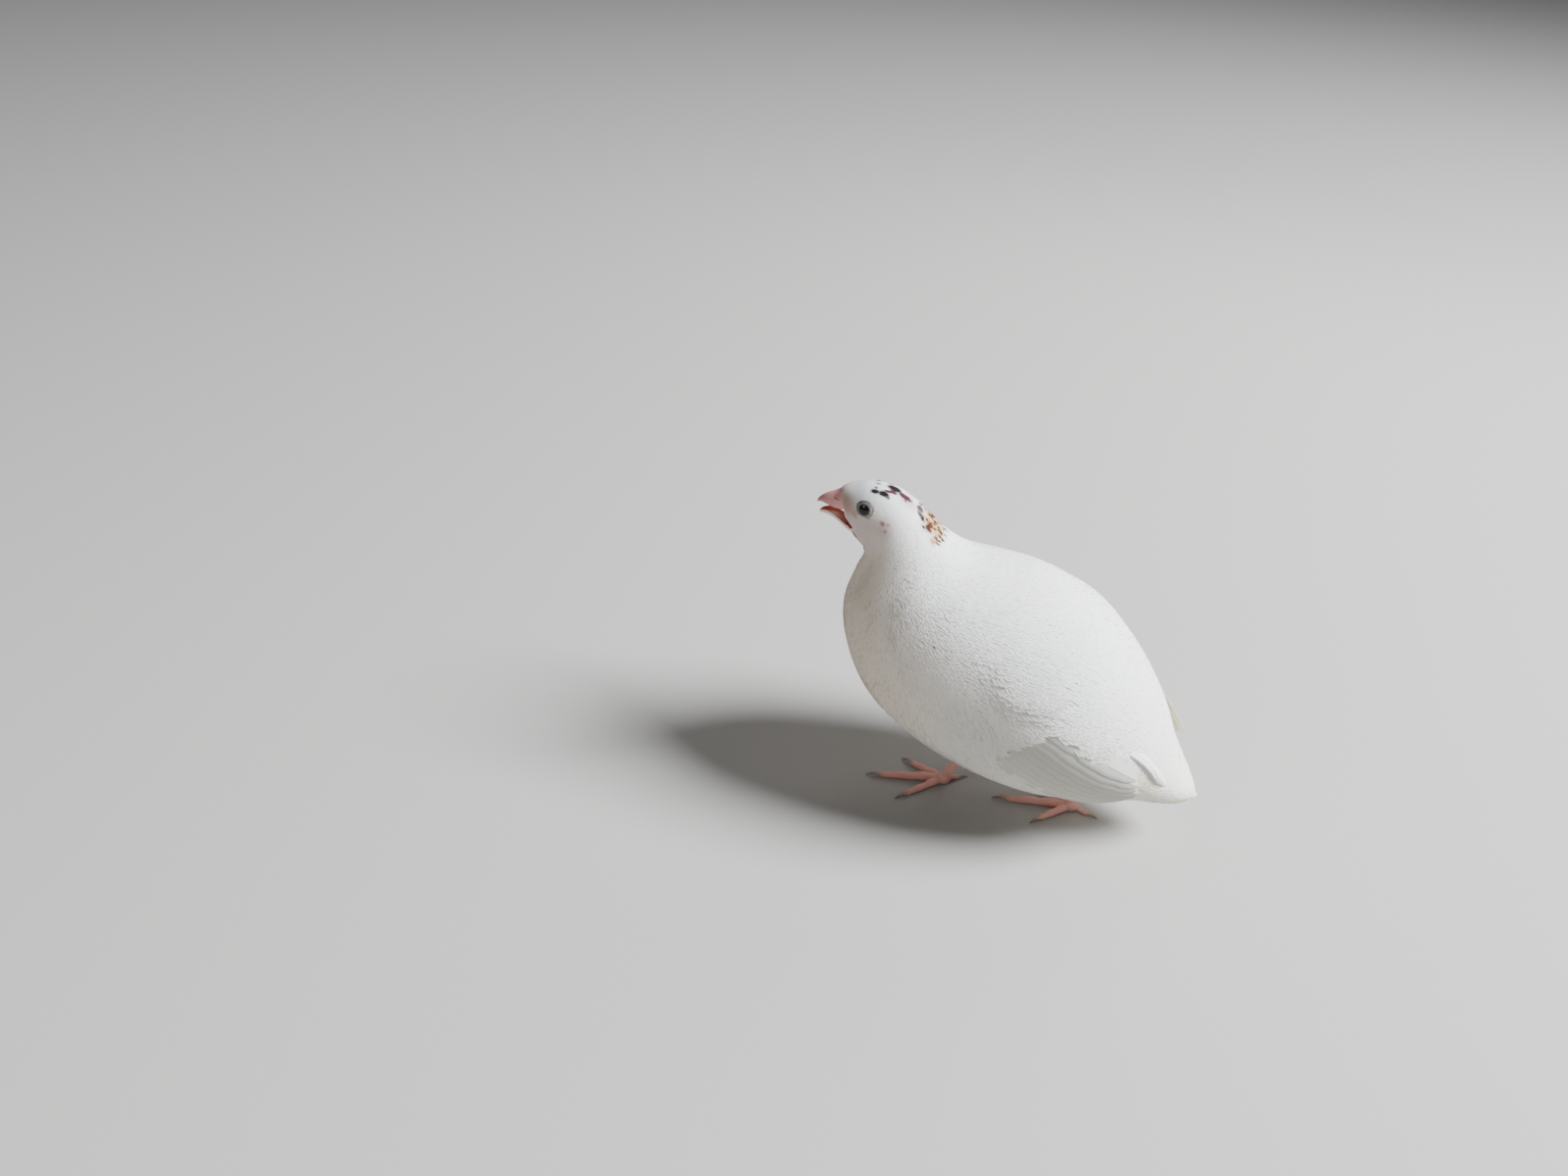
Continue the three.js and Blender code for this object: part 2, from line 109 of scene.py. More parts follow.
# x, z, tilt of the ring in degrees, then half sizes up, down and to the side.
SPINE = np.array([
    [-78.8, 120.6, 10, 5.4, 8.5, 4.2], [-76.8, 119.9, 10, 7.3, 11.2, 6],
    [-73.5, 119.4, 8, 9.2, 13.5, 7.9], [-69.5, 119, 0, 11, 14.8, 9.4],
    [-65, 117.8, -14, 12, 15.5, 10.4], [-60.8, 114.8, -33, 13.3, 15, 11.4],
    [-57.2, 110.3, -50, 14.8, 15.8, 13.2], [-54, 104, -58, 18, 21, 16.8],
    [-50, 95.5, -58, 24.5, 29, 23.5], [-42.5, 85.5, -50, 33.5, 37.5, 30.4],
    [-30.5, 75.5, -40, 39.6, 44.3, 35.2], [-14.5, 66.5, -32, 41.8, 46, 38],
    [4, 58, -27, 40, 44, 39.2], [22, 48, -27, 33.6, 35.5, 36],
    [38, 39.5, -31, 23.2, 25, 28.6], [51, 32, -34, 12.5, 15.5, 18.5],
    [61.5, 25.5, -34, 5.5, 7.5, 10], [68.5, 21, -34, 2.5, 2.5, 3.5],
])
TAIL_END = 16.65  # where the skin's tail ends, under the tail feathers
TAIL_ROUND = (15.9, 0.95)  # from here the tail closes to a round end, over so many rows
COAT_END = 16.8  # no tuft reaches further than this

EYE_POLE = np.array([-69.2, 9.5, 123.1])  # the right eye; the left one is its mirror image
EYE_RADIUS = 4.2
EYE_OPENING = 2.9
EYE_FACING = unit(np.array([-0.15, 1, 0.2]))

# Coat depth: how far the skin lies inside the form, by s.
DEPTH = np.array([
    [0, 1.15], [0.5, 0.5], [1.1, 0.3], [2, 0.3], [4, 0.5], [6, 0.9], [7.5, 1.3], [9, 1.6],
    [14, 1.6], [17, 1],
])


def along(rows, t):
    """A smooth curve through the rows of a table, t counted in rows."""
    rows = np.asarray(rows, float)
    last = len(rows) - 1
    t = np.asarray(t, float)
    i = np.clip(np.floor(t).astype(int), 0, last - 1)
    u = (t - i)[..., None]
    a, b, c, d = (rows[np.clip(i + k, 0, last)] for k in (-1, 0, 1, 2))
    return 0.5 * (2 * b + (c - a) * u + (2 * a - 5 * b + 4 * c - d) * u**2 + (3 * b - a - 3 * c + d) * u**3)


def on_body(s, theta):
    """Points of the body's form."""
    s, theta = np.broadcast_arrays(np.asarray(s, float), np.asarray(theta, float))
    x, z, tilt, up, down, side = np.moveaxis(along(SPINE, s), -1, 0)
    c, a = np.cos(theta), np.radians(tilt)
    close = np.sqrt(clamp(1 - (np.clip(s - TAIL_ROUND[0], 0, None) / TAIL_ROUND[1]) ** 2))
    r, side = np.where(c > 0, up, down) * c * close, side * close
    return np.stack([x - np.sin(a) * r, side * np.sin(theta), z + np.cos(a) * r], -1)


def body_axes(s, theta):
    """Steps along +s and +theta (mm per unit) and the outward normal."""
    e = 0.01
    ds = (on_body(s + e, theta) - on_body(s - e, theta)) / (2 * e)
    dt = (on_body(s, theta + e) - on_body(s, theta - e)) / (2 * e)
    n = unit(np.cross(dt, ds))
    away = on_body(s, theta) - np.insert(along(SPINE, s)[..., :2], 1, 0, axis=-1)
    n *= np.where((n * away).sum(-1, keepdims=True) < 0, -1, 1)
    return ds, dt, n


def rows_per_mm(s, theta, length):
    """Rows of s per millimetre over a tuft's length; at the throat the rows crowd together."""
    rows = 1 / np.maximum(norm(body_axes(s, theta)[0]), 0.5)
    for _ in range(5):
        end = on_body(np.minimum(s + rows * length, COAT_END), theta)
        rows = rows * np.clip(length / (norm(end - on_body(s, theta)) + 1e-6), 0.4, 1)
    return rows


ARC_S = np.linspace(0, 17, 341)
ARC_STEPS = norm(np.diff(on_body(ARC_S, np.full(341, 1.7)), axis=0))  # measured along the bird's side
ARC = np.concatenate([[0], np.cumsum(ARC_STEPS)])


def unwrap(s, theta, s_range=(0, 17)):
    """The skin's own unwrap: along the body, and round it."""
    at, low, high = (np.interp(place, ARC_S, ARC) for place in (s, *s_range))
    u = (at - low) / (high - low)
    v = np.mod(theta / (2 * math.pi) + 0.5, 1)
    return np.stack([0.01 + 0.98 * clamp(u), 0.01 + 0.98 * v], -1)


def waves(s, theta, seed, size=1):
    """A smooth uneven field over the body, about -1 to 1."""
    draw = default_rng(seed)
    total = np.zeros(np.broadcast(s, theta).shape)
    for _ in range(7):
        fs, ft = draw.uniform(1.2, 4) / size, draw.integers(2, 9)
        total = total + np.sin(fs * s + ft * theta + draw.uniform(0, 6.28))
    return total / 3.2


# Markings, and painted shade on the breast and flank

WHITE = np.array([0.9, 0.895, 0.88])
CREAM = np.array([0.87, 0.83, 0.73])
# the breast's beige, deepened with painted shade for the chest and belly
BREAST_BEIGE_AND_SHADE = (0.7, 0.61, 0.5)
# the lower flank's grey cream, darkened further with painted shade
FLANK_GREY_AND_SHADE = (0.63, 0.62, 0.575)
CROWN = (0.48, 0.49, 0.49)
FACE = (0.58, 0.475, 0.425)
GAPE_PINK = np.array([0.74, 0.5, 0.42])
SPOT_COLOURS = {
    "g": (0.075, 0.06, 0.062), "b": (0.08, 0.09, 0.12), "k": (0.012, 0.01, 0.012), "p": (0.07, 0.02, 0.03),
    "q": (0.2, 0.11, 0.12), "m": (0.105, 0.034, 0.02), "n": (0.06, 0.026, 0.014), "t": (0.55, 0.35, 0.19),
    "o": (0.55, 0.24, 0.09), "a": (0.26, 0.15, 0.15), "h": (0.52, 0.38, 0.37), "l": (0.46, 0.29, 0.25),
    "y": (0.62, 0.5, 0.24), "d": (0.16, 0.12, 0.1), "v": (0.56, 0.45, 0.47), "c": (0.78, 0.72, 0.52),
}
GROUNDS = "vtohlyqca"  # the soft patches, laid under the dark spots
FAINT = "hlvc"  # patches that let the white through
# Spots: s, theta in degrees (negative on the left side), half length and half width in
# millimetres, and the colour.
SPOTS = [
    (5, -13, 4.2, 2.4, "v"), (6.1, -10, 4, 4.3, "t"), (6.57, -10, 3, 3.6, "t"), (6.63, -30, 1.3, 1.1, "o"),
    (4.68, -79, 3.4, 3.2, "h"), (1.6, -72, 2.8, 4.2, "l"), (1.3, -72, 1.4, 2.6, "l"),
    (2.3, -86, 1.1, 1.6, "l"), (3.72, -68, 0.8, 1.1, "y"), (14.6, -82, 7, 7, "c"),
    (3.38, 12, 0.75, 0.4, "g"), (3.45, -3, 0.7, 0.35, "b"), (3.42, -17, 0.55, 0.4, "b"),
    (3.43, -27, 1.05, 0.7, "k"), (3.88, -26, 1.4, 0.85, "k"), (4.1, -30, 0.55, 0.45, "g"),
    (4, -17, 0.95, 0.4, "p"), (4.22, 0, 1.95, 1.3, "k"), (4.23, -13, 1.1, 0.65, "p"),
    (4.58, -7, 0.95, 0.8, "p"), (4.77, -8, 1.7, 0.95, "p"), (4.8, -17, 0.75, 0.55, "q"),
    (5.38, 7, 0.75, 0.6, "g"), (5.43, -6, 1.1, 1.1, "g"), (5.62, 7, 0.55, 0.5, "k"),
    (5.6, -17, 1.05, 0.7, "g"), (5.73, -20, 0.7, 0.45, "k"), (5.9, 6, 0.6, 0.6, "n"),
    (6.22, 23, 0.5, 0.5, "n"), (6.12, -18, 0.95, 1.65, "m"), (6.25, -23, 0.6, 0.6, "m"),
    (6.25, 1, 0.5, 0.5, "n"), (6.47, -2, 0.5, 0.45, "n"), (6.62, 18, 0.45, 0.45, "n"),
    (6.35, -13, 0.45, 0.45, "n"), (6.67, -7, 0.6, 0.6, "n"), (6.62, -22, 0.5, 0.5, "n"),
    (6.75, -23, 0.5, 0.45, "n"), (6.77, 9, 0.45, 0.45, "n"), (4.47, -75, 1, 0.8, "a"),
    (3.58, -61, 0.45, 0.8, "d"), (4.75, -70, 0.5, 0.4, "a"), (4.86, -82, 0.5, 0.35, "a"),
    (16.2, -95, 6, 6, "c"),
]


def far_side_spots():
    """The same kinds of spots on the side that faces away, moved a little."""
    draw = default_rng(5)
    moved = []
    for s, theta, a, b, kind in SPOTS:
        if theta < -14 or kind in "tvc":
            ds, dt = draw.uniform(-0.12, 0.12), draw.uniform(-3, 3)
            moved.append((s + ds, -theta + dt, a * draw.uniform(0.8, 1.1), b * draw.uniform(0.8, 1.1), kind))
    return moved


def flecks():
    """Fine dark flecks on the tan of the nape."""
    draw = default_rng(12)
    places = zip(draw.uniform(5.75, 6.95, 34), draw.uniform(-30, 24, 34), draw.uniform(0.25, 0.45, 34))
    return [(s, theta, size * 1.3, size, "n") for s, theta, size in places]


ALL_SPOTS = sorted(SPOTS + far_side_spots() + flecks(), key=lambda spot: spot[4] not in GROUNDS)
SPOT_GROW = 1.5  # a dark spot's feathers reach a little past its roots


def ground_colour(s, theta):
    """The white and its soft tones, with painted shade on the breast, belly and lower flank, before the
    spots.
    """
    under = -np.cos(theta)  # -1 on the back to 1 on the belly
    colour = blend(np.broadcast_to(WHITE, s.shape + (3,)), CREAM, 0.5 * clamp((s - 12.4) / 3.2))
    # a real beige with painted shade: the breast and belly darker underneath
    front = 0.9 * clamp((s - 2.5) / 3) * clamp(0.5 + under) * np.clip((16 - s) / 4, 0.3, 1)
    colour = blend(colour, BREAST_BEIGE_AND_SHADE, front)
    clumps = waves(s, 3 * theta, 14, 2.5) * clamp((s - 4.5) / 2) * clamp((11 - s) / 3)
    colour = colour * (1 + 0.045 * clumps * clamp(0.9 + under))[..., None]
    # a real grey cream with painted shade: the lower flank darker beside the wing's long feathers
    flank = smooth_step((s - 9.5) / 2) * smooth_step(14.2 - s) * smooth_step((degrees_down(theta) - 70) / 26)
    colour = blend(colour, FLANK_GREY_AND_SHADE, 0.75 * flank)
    colour = blend(colour, CROWN, 0.85 * clamp((5.2 - s) / 2) * clamp((-under - 0.1) / 0.5))
    colour = blend(colour, GAPE_PINK * 0.9, 0.8 * clamp((2.4 - s) / 2.6) ** 1.3)
    face = clamp((6.2 - s) / 2.5) * clamp(0.75 + under) ** 0.7
    return blend(colour, FACE, np.minimum(face, 0.85))


def plumage_colour(s, theta):
    """The bird's markings at places on its skin, with the painted shade of the ground, the same for skin and
    coat.
    """
    colour = ground_colour(s, theta)
    mm_s, mm_t = (norm(step) for step in body_axes(s, theta)[:2])
    for at_s, degrees, half_s, half_t, kind in ALL_SPOTS:
        grow, soft = (1, 0.75) if kind in GROUNDS else (SPOT_GROW, 0.3)
        away = wrapped(theta - math.radians(degrees))
        d = np.hypot((s - at_s) * mm_s / half_s, away * mm_t / half_t) / grow
        mask = smooth_step((1 + soft - d) / (2 * soft))
        colour = blend(colour, SPOT_COLOURS[kind], mask * (0.8 if kind in FAINT else 1))
    return colour


# Meshes

def new_object(name, data):
    obj = bpy.data.objects.new(name, data)
    bpy.context.scene.collection.objects.link(obj)
    return obj


def mesh_object(name, verts, faces, material, tint, uv=None, normals=None):
    """A mesh with colours, unwrap and normals by vertex."""
    faces = np.asarray(faces, np.int32)
    count, sides = faces.shape
    me = bpy.data.meshes.new(name)
    me.vertices.add(len(verts))
    me.vertices.foreach_set("co", ((verts + np.array(SHIFT)) * MM).astype(np.float32).ravel())
    me.loops.add(count * sides)
    me.loops.foreach_set("vertex_index", faces.ravel())
    me.polygons.add(count)
    me.polygons.foreach_set("loop_start", np.arange(0, count * sides, sides, dtype=np.int32))
    me.update(calc_edges=True)
    me.polygons.foreach_set("use_smooth", np.ones(count, bool))
    if uv is not None:
        layer = me.uv_layers.new(name="OFBake")
        layer.data.foreach_set("uv", np.asarray(uv, np.float32)[faces.ravel()].ravel())
    rgba = np.ones((len(verts), 4), np.float32)
    rgba[:, :3] = tint
    me.color_attributes.new("tint", "FLOAT_COLOR", "POINT").data.foreach_set("color", rgba.ravel())
    me.validate()
    me.materials.append(material)
    if normals is not None:
        me.normals_split_custom_set(corner_normals(verts, faces, normals).tolist())
    obj = new_object(name, me)
    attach(obj, "root")
    return obj


def corner_normals(verts, faces, normals):
    """Normals by face corner, turned round on faces that look down."""
    a, b, c = (verts[faces[:, k]] for k in range(3))
    flat = unit(np.cross(b - a, c - a))
    corners = normals[faces]
    under = (corners * flat[:, None]).sum(-1) < -0.2
    return np.where(under[..., None], -corners, corners).reshape(-1, 3).astype(np.float32)


def grid_faces(rows, columns):
    """Quads of a grid of rows by columns, joined round its columns."""
    r, c = np.meshgrid(np.arange(rows - 1), np.arange(columns), indexing="ij")
    a, b = r * columns + c, r * columns + (c + 1) % columns
    return np.stack([a, b, b + columns, a + columns], -1).reshape(-1, 4)


def outward_faces(verts, faces):
    """A closed mesh's faces, turned round if they face inward."""
    a, b, c = (verts[faces[:, k]] - verts[0] for k in range(3))
    return faces[:, ::-1] if (a * np.cross(b, c)).sum() < 0 else faces


def tube_mesh(rings):
    """A closed tube of triangles through rings; the ends are fans round two more vertices."""
    rings = np.asarray(rings, float)
    n, m = rings.shape[:2]
    quads = grid_faces(n, m)
    here, end, middle = np.arange(m), (n - 1) * m, np.full(m, n * m)
    ahead = np.roll(here, -1)
    first, last = np.stack([ahead, here, middle], -1), np.stack([end + here, end + ahead, middle + 1], -1)
    verts = np.concatenate([rings.reshape(-1, 3), [rings[0].mean(0), rings[-1].mean(0)]])
    faces = np.concatenate([quads[:, [0, 1, 2]], quads[:, [0, 2, 3]], first, last])
    return verts, outward_faces(verts, faces)


def with_ends(rows):
    """Values by ring point, the last two once more for the middles of a tube's ends."""
    rows = rows.reshape(-1, rows.shape[-1])
    return np.concatenate([rows, rows[-2:]])


def ball_rings(a, b):
    """Rings of a ball of radius 1: a is the angle from its pole, and b goes round it."""
    across, along_axis = np.sin(a), np.outer(np.cos(a), np.ones(len(b)))
    return np.stack([np.outer(across, np.cos(b)), np.outer(across, np.sin(b)), along_axis], -1)


def joined(parts):
    """Several (verts, faces) as one."""
    verts, faces = zip(*parts)
    starts = np.cumsum([0] + [len(v) for v in verts[:-1]])
    return np.concatenate(verts), np.concatenate([f + start for f, start in zip(faces, starts)])


def box_uv(verts):
    """A side-view unwrap, the two sides apart."""
    low, high = verts.min(0), verts.max(0)
    q = (verts - low) / (high - low + 1e-9)
    u = q[:, 0] * 0.48 + np.where(verts[:, 1] > (low[1] + high[1]) / 2, 0.51, 0.01)
    return np.stack([u, 0.02 + 0.96 * q[:, 2]], -1)


# Materials

def shader(name, rough, colour=None, subsurface=0, gloss=0.5, bump=None):
    """A Principled material, its colour constant or the mesh's own tint; bump is scale and strength."""
    mat = bpy.data.materials.new(name)
    mat.use_nodes = True
    nodes, links = mat.node_tree.nodes, mat.node_tree.links
    p = nodes["Principled BSDF"]
    values = {
        "Roughness": rough, "Specular IOR Level": gloss, "Subsurface Weight": subsurface,
        "Subsurface Radius": (1, 0.5, 0.3), "Subsurface Scale": MM,
    }
    for socket, value in values.items():
        p.inputs[socket].default_value = value
    if colour is not None:
        p.inputs["Base Color"].default_value = (*colour, 1)
    else:
        a = nodes.new("ShaderNodeAttribute")
        a.attribute_name = "tint"
        links.new(a.outputs["Color"], p.inputs["Base Color"])
    if bump:
        t, n, b = map(nodes.new, ("ShaderNodeTexCoord", "ShaderNodeTexNoise", "ShaderNodeBump"))
        n.inputs["Scale"].default_value, b.inputs["Strength"].default_value = bump
        b.inputs["Distance"].default_value = 0.0003
        links.new(t.outputs["Object"], n.inputs["Vector"])
        links.new(n.outputs["Fac"], b.inputs["Height"])
        links.new(b.outputs["Normal"], p.inputs["Normal"])
    return mat


MOUTH_RED = (0.42, 0.07, 0.035)
PLUMAGE = shader("plumage", 0.9, gloss=0.15)
SKIN = shader("skin", 0.7, subsurface=0.2, bump=(1800, 0.3))
HORN = shader("horn", 0.38, subsurface=0.25, bump=(1500, 0.15))
MOUTH = shader("mouth", 0.35, subsurface=0.3)
LEG = shader("leg_skin", 0.5, subsurface=0.3, bump=(2500, 0.25))
EYE = shader("eye", 0.1, gloss=0.35)
LID = shader("lid", 0.55, subsurface=0.2)
MOUTH_INSIDE = shader("mouth_inside", 0.4, colour=MOUTH_RED, subsurface=0.2)


# Skin

# The open mouth's outline seen from the side, x and z.
MOUTH_WEDGE = np.array([
    (-72.7, 113.1), (-75.3, 115.6), (-77.7, 117.3), (-80.3, 118.3), (-86.5, 118.5), (-86.5, 116.7),
    (-81.6, 116), (-78.6, 113.8), (-76.4, 112.2), (-74.4, 111.9),
])
MOUTH_OUT = 14  # how far the cut reaches to each side
MOUTH_WALL = 1.4  # half thickness of the flesh left behind the tongue
EYE_GAP = 0.02


def over_mouth(x, z):
    """Height over the line of the open mouth, seen from the side."""
    return z - np.interp(x, [-80.3, -77.7, -75.3, -72.9, -70], [118.3, 117.1, 115.3, 113.3, 110.8])


def eye_centre(sign):
    facing = EYE_FACING * [1, sign, 1]
    return EYE_POLE * [1, sign, 1] - EYE_RADIUS * facing, facing


def cutter(name, rings, material):
    verts, faces = tube_mesh(rings)
    return mesh_object(name, verts, faces, material, np.broadcast_to(MOUTH_RED, (len(verts), 3)))


def cut_away(obj, cuts):
    """Takes the cutters out of an object and removes them."""
    for cut in cuts:
        mod = obj.modifiers.new("cut", "BOOLEAN")
        mod.operation, mod.object, mod.solver = "DIFFERENCE", cut, "EXACT"
    cut_mesh = bpy.data.meshes.new_from_object(obj.evaluated_get(bpy.context.evaluated_depsgraph_get()))
    obj.modifiers.clear()
    obj.data = cut_mesh
    for cut in cuts:
        bpy.data.objects.remove(cut)


def skin():
    s = np.concatenate([np.linspace(0, 5.3, 90), np.linspace(5.35, 8, 36), np.linspace(8.1, TAIL_END, 96)])
    s, theta = np.meshgrid(s, np.linspace(-np.pi, np.pi, 96, endpoint=False), indexing="ij")
    under_wing = wing_rise(s, theta) * clamp((13.2 - s) / 1.2)
    depth = read_off(DEPTH, s)
    height = -depth + (depth + 1.3) * under_wing
    verts, faces = tube_mesh(on_body(s, theta) + body_axes(s, theta)[2] * height[..., None])
    uv = np.concatenate([unwrap(s, theta).reshape(-1, 2), [[0.01, 0.5], [0.99, 0.5]]])
    tint = np.concatenate([plumage_colour(s, theta).reshape(-1, 3), [WHITE, CREAM]])
    # bare pink skin at the bill's root and round the gape
    x, z = verts[:, 0], verts[:, 2]
    gape = clamp(4 - np.abs(over_mouth(x, z) + 0.9)) * clamp((-71.6 - x) / 1.5)
    tint = blend(tint, GAPE_PINK, np.maximum(gape, clamp((-76 - x) / 1.6)))
    obj = mesh_object("skin", verts, faces, SKIN, tint, uv)
    obj.data.materials.append(MOUTH_INSIDE)
    cuts = []
    for sign in (-1, 1):
        sides = [np.insert(MOUTH_WEDGE, 1, y * sign, axis=1) for y in (MOUTH_OUT, MOUTH_WALL)]
        cuts.append(cutter(f"mouth_cut_{sign + 1}", sides, MOUTH_INSIDE))
        ball = ball_rings(np.pi * (np.arange(24) + 0.5) / 24, circle(32)) * (EYE_RADIUS + EYE_GAP)
        cuts.append(cutter(f"eye_cut_{sign + 1}", eye_centre(sign)[0] + ball, LID))
    cut_away(obj, cuts)
    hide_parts("head", "neck", "torso")


# Bill

# x and z of the ridge, x and z of the edge at the mouth, half width.
UPPER_BILL = np.array([
    [-76.6, 125.4, -75.6, 118.9, 3], [-79.6, 125.5, -78.4, 118.6, 3.5], [-82, 124.1, -80.9, 118.5, 3.2],
    [-84.3, 122.9, -83.4, 118.8, 2.55], [-86.3, 121.6, -85.8, 119.1, 1.75],
    [-87.7, 120.3, -87.3, 118.9, 1.05], [-88.5, 118.9, -88.3, 118.2, 0.35],
])
LOWER_BILL = np.array([
    [-73.2, 107.9, -73.8, 111, 2.2], [-75.8, 109.3, -76.5, 112.4, 3], [-78.3, 111.1, -79, 114.1, 3],
    [-81.1, 112.9, -81.6, 115.6, 2.6], [-83.7, 113.8, -84, 116.2, 2], [-86, 114.1, -86.2, 115.8, 1.25],
    [-87.3, 114.2, -87.4, 114.9, 0.45],
])
# Each half: its piece, the node it replaces, its rows, its colours at the root and the tip.
BILL_HALVES = (
    ("bill_upper", "upper_bill", UPPER_BILL, (0.8, 0.38, 0.36), (0.46, 0.21, 0.21)),
    ("bill_lower", "lower_bill", LOWER_BILL, (0.84, 0.56, 0.49), (0.74, 0.55, 0.48)),
)
BILL_LINING = (0.5, 0.11, 0.045)
BILL_RINGS, ARCH_POINTS, LINING_POINTS = 84, 61, 13
NOSTRIL = np.array([[-82, 122.3], [-79.3, 121.9]])  # the slit's ends, x and z


def bill_rings(rows):
    """Rings of one half: a deep arch, and a hollow face towards the mouth."""
    rings = []
    for ridge_x, ridge_z, x, z, wide in along(rows, np.linspace(0, len(rows) - 1, BILL_RINGS)):
        a, c = np.linspace(0, np.pi, ARCH_POINTS), np.linspace(-0.86, 0.86, LINING_POINTS)
        arch = np.sin(a) ** 0.85
        arch[[0, -1]] = 0
        lift = np.concatenate([arch, 0.35 * (1 - c * c) + 0.05])
        across = np.concatenate([np.cos(a), c])
        rings.append(np.stack([x + (ridge_x - x) * lift, across * wide, z + (ridge_z - z) * lift], -1))
    return np.array(rings)


def bill():
    for name, node, rows, root, tip in BILL_HALVES:
        verts, faces = tube_mesh(bill_rings(rows))
        tint = blend(np.tile(root, (len(verts), 1)), tip, clamp((-77 - verts[:, 0]) / 11))
        ring_point = np.arange(len(verts) - 2) % (ARCH_POINTS + LINING_POINTS)
        tint[:-2][ring_point >= ARCH_POINTS] = BILL_LINING
        if name == "bill_upper":
            nostrils(verts, tint)
        obj = mesh_object(name, verts, faces, HORN, tint, box_uv(verts))
        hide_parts(node)


def nostrils(verts, tint):
    """A slit on each side under a low swelling, near the feathers; the slit's dark is painted shade for its
    opening.
    """
    slit_line = NOSTRIL[1] - NOSTRIL[0]
    axis = unit(slit_line)
    away = verts[:, [0, 2]] - NOSTRIL.mean(0)
    on, off = away @ axis / (0.55 * norm(slit_line)), away @ [-axis[1], axis[0]]
    inside = clamp(1 - on**2) * (np.abs(verts[:, 1]) > 1.5)
    off = off - 0.35 * on**2  # the slit is a little bent
    slit, swelling = inside * np.exp(-((off / 0.2) ** 2)), inside * np.exp(-(((off - 0.8) / 0.6) ** 2))
    verts[:, 1] += np.sign(verts[:, 1]) * (0.25 * swelling - 0.55 * slit)
    tint[:] = blend(tint, (0.46, 0.17, 0.17), 0.7 * swelling)
    # painted shade: the slit painted near black for the shade inside the nostril
    tint[:] = blend(tint, (0.16, 0.04, 0.045), slit)


# The tongue's middle line: x, z and half width.
TONGUE = [
    [-74, 112.6, 0.5], [-76, 113.9, 0.8], [-78.2, 115, 1.1], [-80.4, 116.3, 1.15], [-82.6, 117, 0.9],
    [-84, 117, 0.3],
]


def tongue():
    x, z, wide = along(TONGUE, np.linspace(0, 5, 26)).T
    b = circle(20)
    rings = np.stack([
        np.outer(x, np.ones(20)), np.outer(wide, np.cos(b)),
        z[:, None] + np.outer(np.minimum(wide, 0.5), np.sin(b)),
    ], -1)
    verts, faces = tube_mesh(rings)
    obj = mesh_object("tongue_soft", verts, faces, MOUTH, (0.5, 0.12, 0.07), box_uv(verts))
    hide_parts("tongue")


# Eyes

PUPIL, EYE_DARK = (0.004, 0.004, 0.005), (0.05, 0.04, 0.04)
# Round the pupil, the iris, its pale edge and the ball's dark skin: inner radius, softness, colour.
EYE_RINGS = (
    (1.85, 0.2, (0.03, 0.025, 0.022)), (2.14, 0.16, (0.17, 0.16, 0.15)), (2.78, 0.08, EYE_DARK),
)
# The lid's section: radius from the eye's axis, height over the plane of the eye's rim, colour.
LID_SECTION = np.array([
    [2.34, 0.28, 0.05, 0.045, 0.04], [2.38, 0.4, 0.12, 0.11, 0.105], [2.48, 0.46, 0.34, 0.32, 0.305],
    [2.7, 0.42, 0.27, 0.255, 0.24], [2.92, 0.34, 0.36, 0.34, 0.32], [3.1, 0.27, 0.3, 0.275, 0.255],
    [3.22, 0.24, 0.1, 0.08, 0.075], [3.34, 0.16, 0.09, 0.07, 0.065], [3.46, -0.05, 0.2, 0.16, 0.15],
    [3.5, -0.7, 0.5, 0.42, 0.4], [3.3, -1.4, 0.5, 0.42, 0.4], [2.8, -0.9, 0.2, 0.16, 0.15],
])


def eyes():
    for side, sign in (("left", -1), ("right", 1)):
        centre, facing = eye_centre(sign)
        turn = np.array(Vector((0, 0, 1)).rotation_difference(Vector(facing)).to_matrix())
        eyeball(side, centre, turn)
        lid_ring(side, centre, turn)


def eyeball(side, centre, turn):
    a = np.concatenate([np.linspace(0.01, 0.95, 60), np.linspace(1, 3.1, 24)])
    verts, faces = tube_mesh(EYE_RADIUS * ball_rings(a, circle(64)))
    tint = np.tile(PUPIL, (len(verts), 1))
    for edge, soft, colour in EYE_RINGS:
        tint = blend(tint, colour, clamp((norm(verts[:, :2]) - edge) / soft + 0.5))
    tint[verts[:, 2] < 0] = EYE_DARK
    uv = 0.5 + verts[:, :2] / (2.2 * EYE_RADIUS)
    obj = mesh_object(f"eyeball_{side}", verts @ turn.T + centre, faces, EYE, tint, uv)
    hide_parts(f"eye_{side}")


